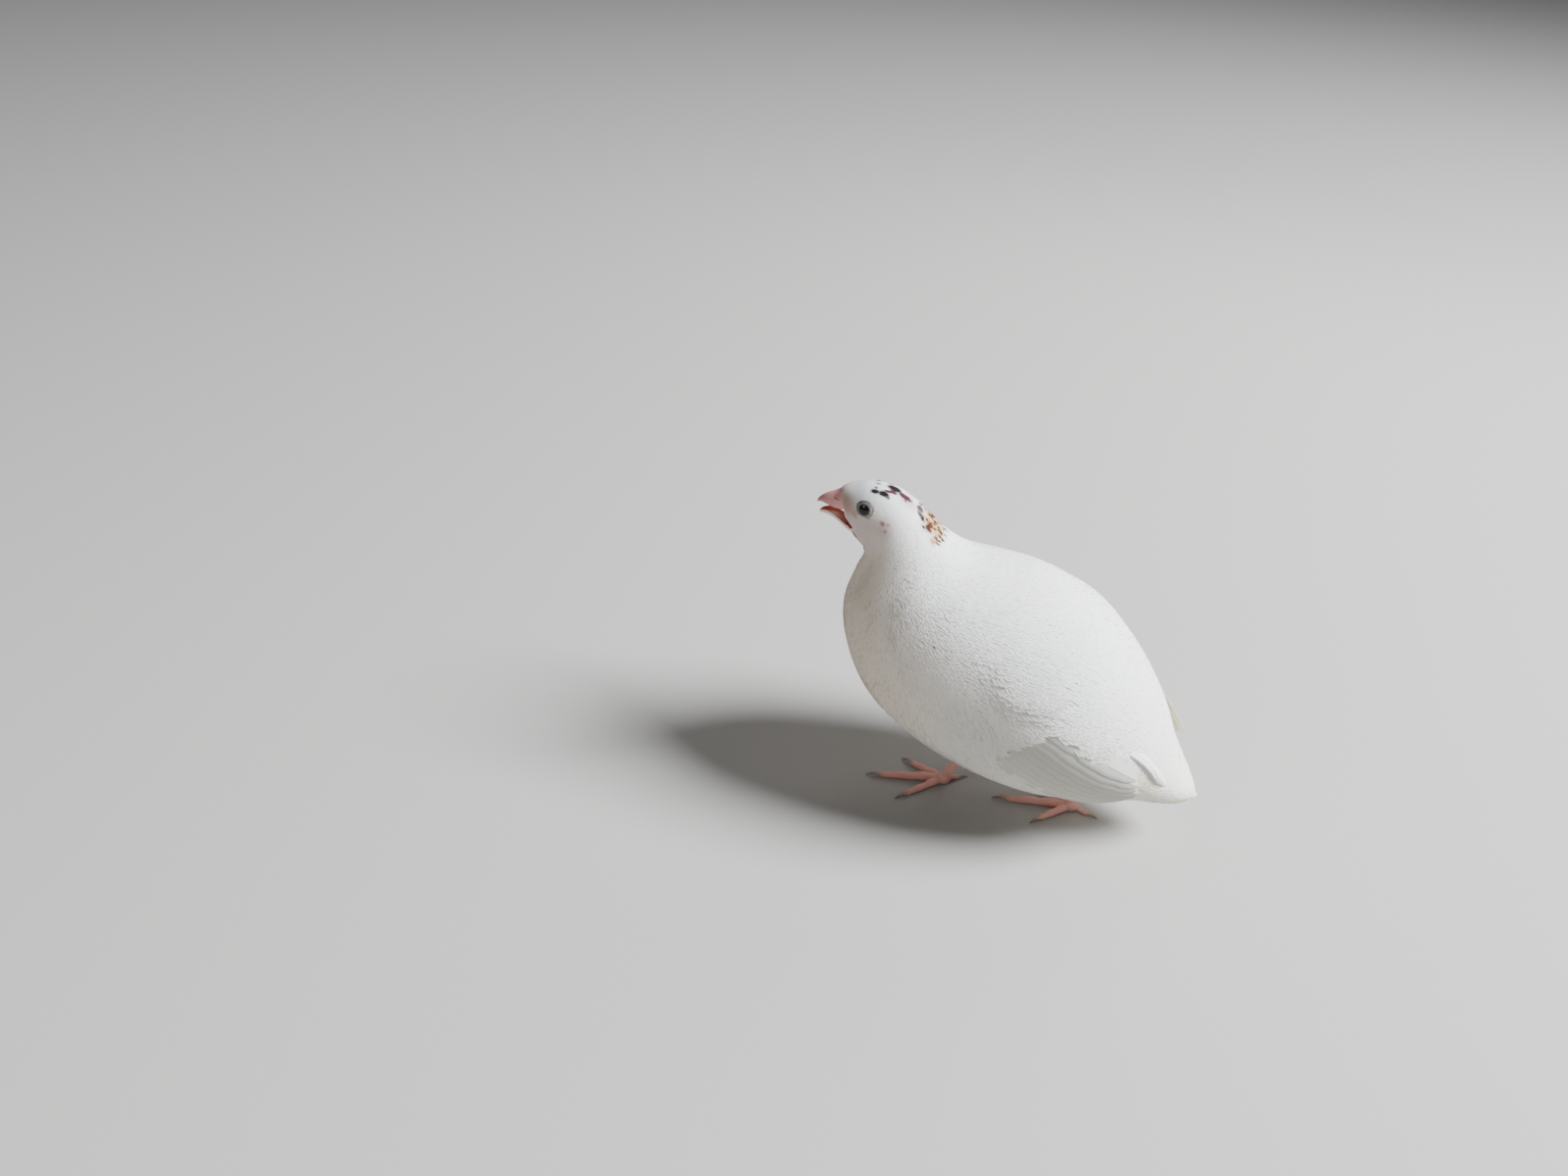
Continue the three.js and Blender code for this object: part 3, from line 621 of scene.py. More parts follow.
def lid_ring(side, centre, turn):
    """The naked lid, a low ring from the eye's edge out to the feathers."""
    around, section = 96, len(LID_SECTION)
    b = circle(around)
    radius, height, colours = LID_SECTION[:, 0], LID_SECTION[:, 1], LID_SECTION[:, 2:]
    rim = math.sqrt(EYE_RADIUS**2 - EYE_OPENING**2)
    squeeze = 1 - 0.05 * np.cos(2 * b) ** 2 + 0.012 * np.sin(7 * b) + 0.006 * np.sin(19 * b)
    x, y = (np.outer(squeeze * wave, radius) for wave in (np.cos(b), np.sin(b)))
    p = np.stack([x, y, np.tile(rim + height, (around, 1))], -1).reshape(-1, 3)
    faces = grid_faces(around + 1, section) % (around * section)
    placed = p @ turn.T
    # 1 above the front to -1 below the back
    slant = (placed[:, 2] - placed[:, 0]) / norm(placed[:, [0, 2]]).max() / 1.2
    b = np.repeat(b, section)
    uneven = 0.9 + 0.08 * np.sin(5 * b + 1) + 0.05 * np.sin(11 * b)
    # painted shade: the ring darker towards its upper front, in the brow's shadow
    tint = np.tile(colours, (around, 1)) * (uneven - 0.45 * clamp(slant + 0.1))[:, None]
    tint = tint * (1 - np.outer(clamp(-slant - 0.2), [0.05, 0.15, 0.5]))
    obj = mesh_object(f"lid_{side}", placed + centre, faces, LID, tint, 0.5 + p[:, :2] / 9)


# Tufts

STATIONS = np.array([0, 0.45, 0.82, 1])  # along a lock: three rings, then the tip
LOCK_WIDTH = np.array([0.6, 1, 0.8])[:, None]
LOCK_HEIGHT = np.array([1, 1, 0.7])[:, None]
LOCK_SHADE = np.repeat([0.93, 0.97, 1], [3, 3, 4])[:, None]  # darker at the root
PATCH = 0.003  # a tuft's patch on the unwrap
ROUNDED = 0.3  # how far a lock's normals lean to its sides
ROOT_DEPTH = 0.92  # a root's, as a share of the coat's


def lock_faces():
    """The triangles of one lock: three rings of three corners, and the tip."""
    sides = [(3 * k + j, 3 * k + (j + 1) % 3) for k in (0, 1) for j in range(3)]
    faces = [face for a, b in sides for face in ((a, b, b + 3), (a, b + 3, a + 3))]
    return np.array(faces + [(6, 7, 9), (7, 8, 9), (8, 6, 9), (0, 2, 1)])


def tuft_mesh(s, theta, length, width, locks, low, high, thick, lie, s_range, tuck):
    """Fans of fine locks that lie along the body. One row of every array is one tuft.

    low and high are the heights of root and tip over the body's form, lie the turn from +s.
    """
    n = len(s)
    rows, mm_t = rows_per_mm(s, theta, length), norm(body_axes(s, theta)[1])
    base = unwrap(s, theta, s_range)
    s, theta, length, width, low, high, rows, mm_t, c, w = (
        v[:, None, None] for v in (s, theta, length, width, low, high, rows, mm_t, np.cos(lie), np.sin(lie))
    )
    q = (np.linspace(-1, 1, locks) + RNG.uniform(-0.5, 0.5, (n, locks)) / locks)[..., None]
    reach = np.sqrt(np.clip(1 - (0.72 * q) ** 2, 0.1, 1)) * RNG.uniform(0.9, 1.06, (n, locks, 1))
    t = STATIONS
    spread = (0.38 + 0.62 * np.minimum(t / 0.7, 1) ** 0.8) * (1 - 0.12 * t**3)
    ahead = length * reach * t
    aside = (0.5 * q * spread + RNG.uniform(-0.06, 0.06, (n, locks, 1)) * t**2) * width
    ps = np.clip(s + (ahead * c - aside * w) * rows, -1, COAT_END)
    pt = theta + (ahead * w + aside * c) / mm_t
    h = low + (high - low) * (1 - (1 - t) ** 2.6) - tuck * t**4
    h = h - 0.05 * width * q**2 * (1 - t) + RNG.uniform(-0.01, 0.01, (n, locks, 1))
    normal = body_axes(ps, pt)[2]
    centre = on_body(ps, pt) + normal * h[..., None]
    run = np.gradient(centre, axis=2)
    side = unit(np.cross(normal, run))
    up = unit(np.cross(run, side))
    half = side[:, :, :3] * (0.88 * width[..., None] / locks * LOCK_WIDTH)
    tall = up[:, :, :3] * (thick * LOCK_HEIGHT)
    body = centre[:, :, :3]

    def by_vertex(corners, tips):
        """Values at the nine corners of every lock, then at its tip."""
        return np.concatenate([corners.reshape(n, locks, 9, -1), tips], 2).reshape(-1, tips.shape[-1])

    ring = np.stack([body - half - 0.4 * tall, body + 0.6 * tall, body + half - 0.4 * tall], 3)
    verts = by_vertex(ring, centre[:, :, 3:])
    # the plumage's own normals, a little rounded over each lock, so that the coat looks soft
    rounded = normal[:, :, :3, None] + side[:, :, :3, None] * np.array([[ROUNDED], [0], [-ROUNDED]])
    shown = unit(by_vertex(rounded, normal[:, :, 3:]))
    faces = (lock_faces() + 10 * np.arange(n * locks)[:, None, None]).reshape(-1, 3)
    patch = np.stack(np.broadcast_arrays(t - 0.5, q * 0.4), -1) * PATCH
    uv = base[:, None, None] + patch
    uv = by_vertex(np.repeat(uv[:, :, :3], 3, axis=2), uv[:, :, 3:])
    tint = plumage_colour(ps[:, :, 2], pt[:, :, 2]) * RNG.uniform(0.965, 1, (n, 1, 1))
    tint = tint[:, :, None] * LOCK_SHADE * RNG.uniform(0.975, 1, (n, locks, 1, 1))
    return verts, outward_faces(verts, faces), tint.reshape(-1, 3), uv, shown


def scatter(s_low, s_high, spacing, seed, keep=None):
    """Even places on the body from s_low to s_high, about spacing(s) apart."""
    draw = default_rng(seed)
    s, theta = np.meshgrid(np.linspace(s_low, s_high, 120), np.linspace(-np.pi, np.pi, 120), indexing="ij")
    ds, dt, _ = body_axes(s, theta)
    weight = norm(np.cross(ds, dt)) / spacing(s) ** 2
    count = int(weight.mean() * (s_high - s_low) * (2 * np.pi) * 7)
    pick = draw.choice(weight.size, count, p=weight.ravel() / weight.sum())
    s = np.clip(s.ravel()[pick] + draw.uniform(-0.5, 0.5, count) * (s_high - s_low) / 119, s_low, s_high)
    theta = theta.ravel()[pick] + draw.uniform(-0.5, 0.5, count) * (2 * np.pi) / 119
    if keep is not None:
        ok = keep(s, theta)
        s, theta = s[ok], theta[ok]
    p, gap = on_body(s, theta), spacing(s) * 0.82
    cell = np.floor(p / gap.max()).astype(int)
    near_by = list(product((-1, 0, 1), repeat=3))
    taken, chosen = {}, []
    for i, (x, y, z) in enumerate(cell.tolist()):
        near = [k for a, b, c in near_by for k in taken.get((x + a, y + b, z + c), ())]
        if near and (((p[near] - p[i]) ** 2).sum(1) < gap[i] ** 2).any():
            continue
        taken.setdefault((x, y, z), []).append(i)
        chosen.append(i)
    return s[chosen], theta[chosen]


# The folded wing's upper and lower edge out to the feathers' tips: s, then degrees down.
WING_EDGE = np.array([
    [7.9, 70, 84], [8.5, 50, 99], [9.3, 40, 106], [10.2, 34, 109], [11.1, 32, 111], [12.2, 33, 113],
    [13.4, 38, 116], [14.4, 62, 120],
])
FAR_WING_DROP = 16  # the right wing's upper edge hangs so many degrees lower
# The wing's long feathers show below this line: s, degrees down from the back.
LONG_FEATHERS_TOP = np.array([
    [11.9, 106], [12, 90], [12.12, 77], [12.35, 74], [12.65, 76.5], [13, 79], [13.3, 82], [13.6, 80],
    [13.9, 77],
])
LONG_FROM, LONG_TO = 11.9, 13.9
# The lobe of small feathers over them: its middle (s, degrees down), half width in degrees, height.
LOBE_S, LOBE_DOWN, LOBE_HALF, LOBE_HIGH = 11.3, 60, 16, 1.2
WING_HIGH, TAIL_HIGH = 2.6, 0.9
LOOSE_FROM, LOOSE_TO, LOOSE_HIGH = 12.4, 15.4, 7.4  # the right wing's feathers stand off the rump
# Where the feathers begin behind the bill: degrees down from the crown, s.
BILL_EDGE = np.array([
    [0, -0.3], [28, -0.25], [45, -0.1], [60, 0.2], [75, 0.6], [90, 0.85], [105, 0.8], [150, 0.3], [180, 0.3],
])


def wing_rise(s, theta):
    """How far the wing has risen from the body, 0 at its edges to 1 inside."""
    down = degrees_down(theta)
    top = read_off(WING_EDGE, s) + FAR_WING_DROP * (np.sin(theta) > 0)
    edges = np.minimum((down - top + 8) / 34, (read_off(WING_EDGE, s, 2) - down) / 10)
    return smooth_step(np.minimum(edges, (s - 7.8) / 1.9))


def surface_height(s, theta):
    """Height of the wing's small feathers, their lobe and the tail's down over the body's form."""
    # the lobe ends round and steep behind, and runs out softly in front
    ahead, soft = np.where(s < LOBE_S, 1.7, 1), 0.6 + 1.1 * np.clip(LOBE_S - s, 0, 2)
    away = np.hypot((s - LOBE_S) / ahead, (degrees_down(theta) - LOBE_DOWN) / LOBE_HALF)
    lobe = smooth_step((1.2 - away) / soft)
    small = wing_rise(s, theta) * smooth_step((LONG_TO - s) / 0.9)
    return WING_HIGH * small + LOBE_HIGH * lobe + TAIL_HIGH * smooth_step((s - 14.8) / 1.2)


def looseness(s, sign):
    return LOOSE_HIGH * np.clip((s - LOOSE_FROM) / (LOOSE_TO - LOOSE_FROM), 0, None) ** 1.3 * (sign > 0)


def long_feathers_show(s, theta):
    down = degrees_down(theta)
    between = (down > read_off(LONG_FEATHERS_TOP, s) - 3) & (down < read_off(WING_EDGE, s, 2) - 5)
    return (s > LONG_FROM) & (s < LONG_TO) & between


def face_keep(s, theta):
    """Where feathers may grow on the head: off the eyes, the bill and the mouth."""
    p = on_body(s, theta)
    ok = np.ones(s.shape, bool)
    for sign in (-1, 1):
        centre, facing = eye_centre(sign)
        out = ((p - centre) * facing).sum(-1)
        ok &= (norm(p - centre - out[..., None] * facing) >= 3.25) | (out <= 0)
    x, z = p[..., 0], p[..., 2]
    front = read_off(BILL_EDGE, degrees_down(theta)) + 0.12 * waves(s, theta, 6, 0.3)
    gape = (x < -72) & (np.abs(over_mouth(x, z) + 1.1) < 2.5 + 0.3 * waves(s, theta, 7, 0.4))
    jaw = (x < -74) & (z < 116)
    return ok & (s > front) & ~gape & ~jaw


def coat(name, s, theta, length, wide, locks, thick, tip_height, s_range, tuck, spread):
    """One piece of the coat, a tuft at each place. wide is its width as a share of its length."""
    n = len(s)
    wild = RNG.normal(0, 1, n)
    tip_s = np.clip(s + length * rows_per_mm(s, theta, length), 0, COAT_END)
    low = surface_height(s, theta) - np.minimum(ROOT_DEPTH * read_off(DEPTH, s), 0.22 * length)
    high = surface_height(tip_s, theta) + tip_height(s, theta) + 0.14 * tuck * RNG.normal(0, 1, n)
    lie = spread * (0.6 * wild + waves(s, theta, 3))
    length, width = length * RNG.uniform(0.88, 1.1, n), length * wide * RNG.uniform(0.9, 1.1, n)
    verts, faces, *rest = tuft_mesh(s, theta, length, width, locks, low, high, thick, lie, s_range, tuck)
    obj = mesh_object(name, verts, faces, PLUMAGE, *rest)


def head_coat():
    spacing = lambda s: np.interp(s, [0, 2, 4, 5.6], [0.4, 0.5, 0.64, 0.88])
    height = lambda s, t: 0.02
    for k, (name, low, high) in enumerate((("coat_face", -0.8, 2.7), ("coat_crown", 2.7, 5.3))):
        s, theta = scatter(low, high, spacing, 31 + 9 * k, face_keep)
        length = np.interp(s, [-0.8, 0, 2, 4, 5.6], [0.8, 1.1, 1.8, 2.7, 3.6])
        coat(name, s, theta, length, 0.6, 5, 0.025, height, (0, high + 0.4), 0.06, 0.1)


def neck_coat():
    spacing = lambda s: np.interp(s, [5.2, 6.5, 7.6], [0.86, 1.2, 1.7])
    height = lambda s, t: 0.05 + 0.16 * waves(s, t, 8)
    s, theta = scatter(5.2, 7.6, spacing, 32)
    length = np.interp(s, [5.2, 6.5, 7.6], [3.6, 4.8, 6])
    coat("coat_neck", s, theta, length, 0.62, 7, 0.03, height, (5.2, 7.8), 0.13, 0.11)


BODY_BANDS = (
    ("coat_breast", 7.5, 8.9), ("coat_shoulder", 8.9, 9.9), ("coat_wings", 9.9, 10.9),
    ("coat_flank", 10.9, 11.9), ("coat_belly", 11.9, 13.1), ("coat_rump", 13.1, 14.6),
    ("coat_tail", 14.6, 16.7),
)


def body_coat():
    spacing = lambda s: np.interp(s, [7.5, 9, 12, 14, 16], [1.75, 2, 2.1, 1.95, 1.5])
    behind = lambda s, t: s + 0.35 + 0.1 * waves(s, t, 11, 0.25)
    keep = lambda s, t: ~long_feathers_show(s, t) & ~long_feathers_show(behind(s, t), t)
    height = lambda s, t: 0.05 + 0.22 * waves(s, t, 9) * np.where(np.cos(t) < 0.2, 1, 0.4)
    for k, (name, low, high) in enumerate(BODY_BANDS):
        s, theta = scatter(low, high, spacing, 33 + k, keep)
        length = np.interp(s, [7.5, 9, 12, 15.4, 16.6], [6, 7.4, 8.2, 7.6, 3.4])
        length = length * np.where(np.cos(theta) < -0.3, 1.12, 1)  # longer under the belly
        loose = 1.8 if name == "coat_tail" else 1  # the tail's down lies less evenly
        tuck, spread = 0.14 * loose, 0.1 * loose
        coat(name, s, theta, length, 0.66, 9, 0.028, height, (low, high + 0.4), tuck, spread)


# Vanes

VANE_T = np.array([0, 0.1, 0.25, 0.42, 0.58, 0.72, 0.83, 0.91, 0.96, 1])
VANE_W = np.array([0.42, 0.6, 0.8, 0.93, 1, 0.97, 0.87, 0.7, 0.52, 0.2])
# Places round a vane, from its left edge at -1 to its right one: over the top, and back below.
VANE_RING = np.array([-1, -0.72, -0.4, -0.06, 0, 0.06, 0.4, 0.72, 1, 0.72, 0.06, -0.06, -0.72])[:, None]
VANE_OVER = np.arange(len(VANE_RING))[:, None] < 9
VANE_STEPS = 26
STEP_T = np.linspace(0, 1, VANE_STEPS)  # the same steps from 0 to 1
VANE_CUP = 0.018  # how far the edges hang, as a share of the width
VANE_BOW = 0.4  # how far a vane's normals lean out at its edges
SHAFT_HIGH = 0.09


def split_outline(n, draw):
    """Half widths of n feathers, left and right, with a few splits between the barbs."""
    outline = np.interp(STEP_T, VANE_T, VANE_W)[:, None]
    outline = outline * (1 + 0.03 * draw.normal(0, 1, (n, VANE_STEPS, 2)))
    for feather in outline:
        for _ in range(draw.integers(1, 4)):
            k, edge = draw.integers(int(VANE_STEPS * 0.45), VANE_STEPS - 3), draw.integers(0, 2)
            feather[k, edge] *= draw.uniform(0.72, 0.9)
    return outline[:, :, None]


def vane_mesh(paths, ups, wide, tilt, seed, tint, spot, thick=0.22):
    """Feathers with a shaft and split edges, along paths (feathers x VANE_STEPS x 3)."""
    n, m = paths.shape[:2]
    draw = default_rng(seed)
    run = unit(np.gradient(paths, axis=1))
    side = unit(np.cross(run, ups))
    up = np.cross(side, run)
    c, w = np.cos(tilt), np.sin(tilt)
    side, up = (side * c + up * w)[:, :, None], (up * c - side * w)[:, :, None]
    outline = split_outline(n, draw)
    t = STEP_T[:, None, None]
    wide, thin = wide[:, None, None, None], 0.5 * thick * (1 - 0.35 * t)
    ring, far = VANE_RING, np.abs(VANE_RING)
    edge = np.where(ring < 0, outline[..., :1], outline[..., 1:])
    bow = -VANE_CUP * wide * ring**2 * np.where(VANE_OVER, np.minimum(1, 3 * (1 - t)), 1)
    body = thin * np.where(VANE_OVER, far <= 0.9, -1)
    shaft = SHAFT_HIGH * (far < 0.03) * (1 - 0.6 * t)
    rings = paths[:, :, None] + side * (ring * edge * 0.5 * wide) + up * (bow + body + shaft)
    verts, faces = joined([tube_mesh(one) for one in rings])
    lean = VANE_BOW * ring + np.where(far < 0.1, 4 * ring, 0)
    normals = unit(up + side * lean).reshape(n, -1, 3)
    # a barb-fine stripe of random tone, and painted shade along both edges, where the vanes overlap and one
    # edge lies under the next feather
    streak_and_edge_shade = 1 - 0.04 * draw.random((n, m, len(ring), 1)) - 0.16 * (far > 0.9)
    colours = (tint[:, None, None] * streak_and_edge_shade).reshape(n, -1, 3)
    uv = np.stack(np.broadcast_arrays(t[..., 0] - 0.5, ring[:, 0] * 0.45), -1).reshape(-1, 2)
    uv = spot[:, None] + 0.02 * np.concatenate([uv, [[-0.5, 0], [0.5, 0]]])
    # each tube has two more vertices, in the middle of its ends
    normals = np.concatenate([normals, normals[:, :1], normals[:, -1:]], 1)
    colours = np.concatenate([colours, colours[:, -2:]], 1)
    return verts, faces, *(values.reshape(-1, values.shape[-1]) for values in (colours, uv, normals))


def vane_object(name, parts):
    """One piece of several vane meshes."""
    verts, faces = joined([part[:2] for part in parts])
    rest = (np.concatenate([part[k] for part in parts]) for k in (2, 3, 4))
    return mesh_object(name, verts, faces, PLUMAGE, *rest)


def spans(start, end):
    """Straight rows of VANE_STEPS places, from each start to its end."""
    return start[:, None] + (end - start)[:, None] * STEP_T[:, None]


# Rows of wing feathers: how many, places of the first and last root and tip as (s, degrees down),
# extra reach of the middle ones, heights of root and tip over the body, width.
WING_ROWS = {
    "flight": (9, (10.9, 74), (11.6, 106), (14.1, 73), (14.2, 114), 0.32, (1.7, 1.55), 8.6),
    "greater": (7, (10, 72), (10, 104), (11.95, 78), (11.7, 109), 0.06, (1.9, 2.1), 9.5),
}
FAR_FLIGHT = ((11, 58), (11.7, 104), (15.25, 57), (14.15, 114))  # the right wing's, hanging loose
# the left wing's long feathers: a grey cream, darkened with painted shade for the lobe's shadow over them
VANE_CREAM_AND_SHADE = np.array([0.52, 0.51, 0.445])
FAR_CREAM = np.array([0.84, 0.79, 0.6])


def wing_feathers(side, sign):
    parts = []
    for k, (row, spec) in enumerate(WING_ROWS.items()):
        count, root0, root1, tip0, tip1, out, high, wide = spec
        if row == "flight" and sign > 0:
            root0, root1, tip0, tip1 = FAR_FLIGHT
        draw = default_rng(70 + k)
        f = np.linspace(0, 1, count)
        root, tip = np.linspace(root0, root1, count), np.linspace(tip0, tip1, count)
        tip[:, 0] += out * np.sin(np.pi * f) + 0.06 * draw.uniform(-1, 1, count)
        s, down = np.moveaxis(spans(root, tip), -1, 0)
        theta = sign * np.radians(down)
        h = high[0] + (high[1] - high[0]) * STEP_T**0.7 - 0.5 * f[:, None] * (row == "flight")
        h = h * (0.2 + 0.8 * wing_rise(s, theta)) + looseness(s, sign) - 2.4 * smooth_step((12 - s) / 0.9)
        up = body_axes(s, theta)[2]
        path = on_body(s, theta) + up * h[..., None]
        spot = unwrap(root[:, 0], sign * np.radians(root[:, 1]), (7, 15))
        # the left wing's vanes take the shaded grey cream, partly painted shade; the right wing's cream is
        # their own colour
        tint = blend(WHITE, FAR_CREAM if sign > 0 else VANE_CREAM_AND_SHADE, clamp(0.65 + f))
        tint = tint * draw.uniform(0.95, 1, (count, 1))
        wide = wide * draw.uniform(0.95, 1.06, count)
        parts.append(vane_mesh(path, up, wide, -sign * 0.14, k, tint, spot))
    obj = vane_object(f"wing_vanes_{side}", parts)
    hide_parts(f"wing_{side}")


# Rows of tail feathers: how many, s of the roots, lift of roots and middles, the middle tip's x,
# half spread and z, how far the outer tips fall back and down, width.
TAIL_ROWS = (
    (15, 15.3, (-0.6, 1.2), (69.2, 3.6, 21.4), (3.5, -0.6), 2.6),
    (11, 15.2, (-3.5, -1), (66.8, 3.2, 18.6), (3, -0.6), 2.6),
    (15, 15, (1.5, 1.6), (68.2, 3.6, 23.2), (3.5, 0.4), 2.6),
)
CURL_STRANDS = 40


def curled_feathers():
    """A soft white lock that curls down beside the tail, behind the left wing's tip."""
    draw, count = default_rng(31), CURL_STRANDS
    f = np.linspace(0, 1, count)  # from the lock's upper edge to its lower one
    start = np.stack([13.55 - 0.2 * f + 0.12 * draw.normal(0, 1, count), -57 - 7 * f], -1)
    end_s = 15.05 - 0.5 * (f - 0.35) ** 2 + 0.1 * draw.normal(0, 1, count)
    end = np.stack([end_s, -62 - 5 * f + 1.2 * draw.normal(0, 1, count)], -1)
    s, degrees = np.moveaxis(spans(start, end), -1, 0)
    theta = np.radians(degrees + 6 * np.sin(np.pi * STEP_T))
    up = body_axes(s, theta)[2]
    high = 1.3 + 0.8 * np.sin(np.pi * f) + 0.06 * draw.normal(0, 1, count)
    path = on_body(s, theta) + up * (high[:, None] * np.sin(0.8 * np.pi * STEP_T) ** 0.8 - 0.9)[..., None]
    spot = unwrap(start[:, 0], np.radians(start[:, 1]), (7, 17))
    white = np.tile(WHITE, (count, 1))
    return vane_mesh(path, up, draw.uniform(1, 1.6, count), 0.1, 31, white, spot, thick=0.08)


def tail_feathers():
    parts = []
    for k, (count, root, lift, tip, fall, wide) in enumerate(TAIL_ROWS):
        draw = default_rng(90 + k)
        x, z, tilt, _, _, side = along(SPINE, root)
        a = math.radians(tilt)
        up = np.array([-math.sin(a), 0, math.cos(a)])
        f, flat = np.linspace(-1, 1, count), np.zeros(count)
        start = np.stack([flat + x, side * 0.5 * f, flat + z], -1) + up * (lift[0] + 2 - 2 * f * f)[:, None]
        end_x = tip[0] - fall[0] * f * f + 1.1 * draw.uniform(-1, 1, count)
        end = np.stack([end_x, tip[1] * f, tip[2] - fall[1] * f * f], -1)
        path = spans(start, end) + up * (lift[1] * 0.5 * np.sin(np.pi * STEP_T))[:, None]
        lean = up + np.stack([flat, 0.55 * f, flat], -1)
        ups = np.broadcast_to(lean[:, None], path.shape)
        spot = unwrap(flat + root, f * 0.9, (14, 17))
        tint = (WHITE * 0.4 + CREAM * 0.6) * draw.uniform(0.95, 1, (count, 1))
        parts.append(vane_mesh(path, ups, flat + wide, 0, 20 + k, tint, spot))
    parts.append(curled_feathers())
    obj = vane_object("tail_vanes", parts)
    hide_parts("tail")


# Legs and feet

FEET = {
    "left": dict(hub=(-26.8, -0.6), heading=12, ankle=(-15, -7, 32), out=-1),
    "right": dict(hub=(25, 0.6), heading=-8, ankle=(17, 8, 33), out=1),
}
TOES = {  # turn from the middle toe, length without the claw, claw length, radius
    "inner": (-36, 15.5, 4.6, 1.75), "middle": (0, 25.5, 5.6, 1.95), "outer": (34, 18.5, 4.8, 1.7),
    "hind": (-158, 7, 4.2, 1.35),
}
HUB_HIGH, HUB_HALVES = 2.2, (3.1, 2.9, 2.7)
LEG_PINK = np.array([0.78, 0.4, 0.34])
PAD_ORANGE = (0.8, 0.46, 0.26)
CLAW_PALE = np.array([0.62, 0.44, 0.36])
# The shank from the hub up: place along it, half width, half depth.
SHANK = np.array([[0, 1.8, 1.95], [0.1, 1.7, 1.85], [0.3, 1.5, 1.75], [0.6, 1.5, 1.75], [0.72, 1.6, 1.85]])
SCUTE_LENGTH = 1.15
SHANK_SCUTES = 16


def tube_along(points, wide, high, floor=0):
    """A tube along points, its half sizes by point and angle."""
    run = unit(np.gradient(points, axis=0))
    side = unit(np.cross(run, [0, 0, 1]))
    up = np.cross(side, run)
    b = circle(wide.shape[1])
    aside, above = (np.cos(b) * wide)[..., None], (np.sin(b) * high)[..., None]
    ring = points[:, None] + side[:, None] * aside + up[:, None] * above
    ring[..., 2] = np.maximum(ring[..., 2], floor)
    return tube_mesh(ring)


def scutes(count, t):
    """0 in the thin grooves between the scutes, 1 on them, as a column."""
    return np.abs(np.sin(np.pi * count * t))[:, None] ** 0.35


def toe(foot, name):
    """A toe's mesh and colours; its claw becomes a piece of its own."""
    spec = FEET[foot]
    turn, length, claw_length, radius = TOES[name]
    heading = math.radians(spec["heading"] + turn)
    direction = np.array([-math.cos(heading), spec["out"] * math.sin(heading), 0])
    start = np.array([*spec["hub"], 0])
    t = np.linspace(0, 1, 90)
    b = circle(28)
    knuckles = 1 if name == "hind" else 3
    r = radius * (1 - 0.28 * t) * (1 + 0.09 * np.cos(2 * np.pi * knuckles * t))
    r = r * np.sqrt(1 - 0.7 * (clamp(t - 0.9) / 0.1) ** 2)  # round at the claw
    tall = r * (1 - 0.1 * t)
    points = start + direction * (length * t)[:, None]
    points[:, 2] = 0.93 * tall + (1.6 * (1 - t) if name == "hind" else 0.5 * (1 - t) ** 2)
    ridge, over = scutes(int(length / SCUTE_LENGTH), t), clamp(np.sin(b)) ** 0.5
    wide = r[:, None] * (0.98 + 0.03 * (ridge - 0.6) * over)
    mesh = tube_along(points, wide, tall[:, None] * (0.98 + 0.045 * (ridge - 0.6) * over))
    tint = LEG_PINK * (1 - 0.1 * (1 - ridge) * over)[..., None]
    tint = blend(tint, PAD_ORANGE, 1.4 * np.clip(-np.sin(b) - 0.35, 0, 0.5))
    claw(f"{name}_{foot}", start, direction, length, claw_length, 0.62 * radius)
    return mesh, with_ends(tint)


def claw(name, start, direction, toe_length, length, root):
    t = np.linspace(0, 1, 24)
    r = root * (1 - 0.86 * t**1.2)
    points = start + direction * (toe_length - 0.4 + (length + 0.7) * t)[:, None]
    points[:, 2] = np.maximum(root * 1.25 * (1 - t**2) + 0.25 * t, r)
    r = np.tile(r[:, None], 16)
    verts, faces = tube_along(points, 0.8 * r, r)
    tint = CLAW_PALE * (1 - 0.75 * t[:, None])  # darker towards the tip
    tint = np.concatenate([np.repeat(tint, 16, 0), tint[[0, -1]]])
    obj = mesh_object(f"nail_{name}", verts, faces, HORN, tint, box_uv(verts))
    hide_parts(f"claw_{name}")


def hub(foot):
    """The ball where the toes meet, flat on the floor."""
    rings = ball_rings(np.linspace(0.12, np.pi - 0.12, 24), circle(36)) * HUB_HALVES
    rings += (*FEET[foot]["hub"], HUB_HIGH)
    rings[..., 2] = np.maximum(rings[..., 2], 0)
    verts, faces = tube_mesh(rings)
    low = clamp(1 - verts[:, 2] / 2.4)
    return (verts, faces), blend(np.tile(LEG_PINK, (len(verts), 1)), PAD_ORANGE, 0.7 * low)


def feet():
    for foot in FEET:
        meshes, tints = zip(*[toe(foot, name) for name in TOES], hub(foot))
        verts, faces = joined(meshes)
        uv = box_uv(verts[:, [0, 2, 1]])
        obj = mesh_object(f"toes_{foot}", verts, faces, LEG, np.concatenate(tints), uv)
        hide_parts(f"foot_{foot}")
        shank(foot)


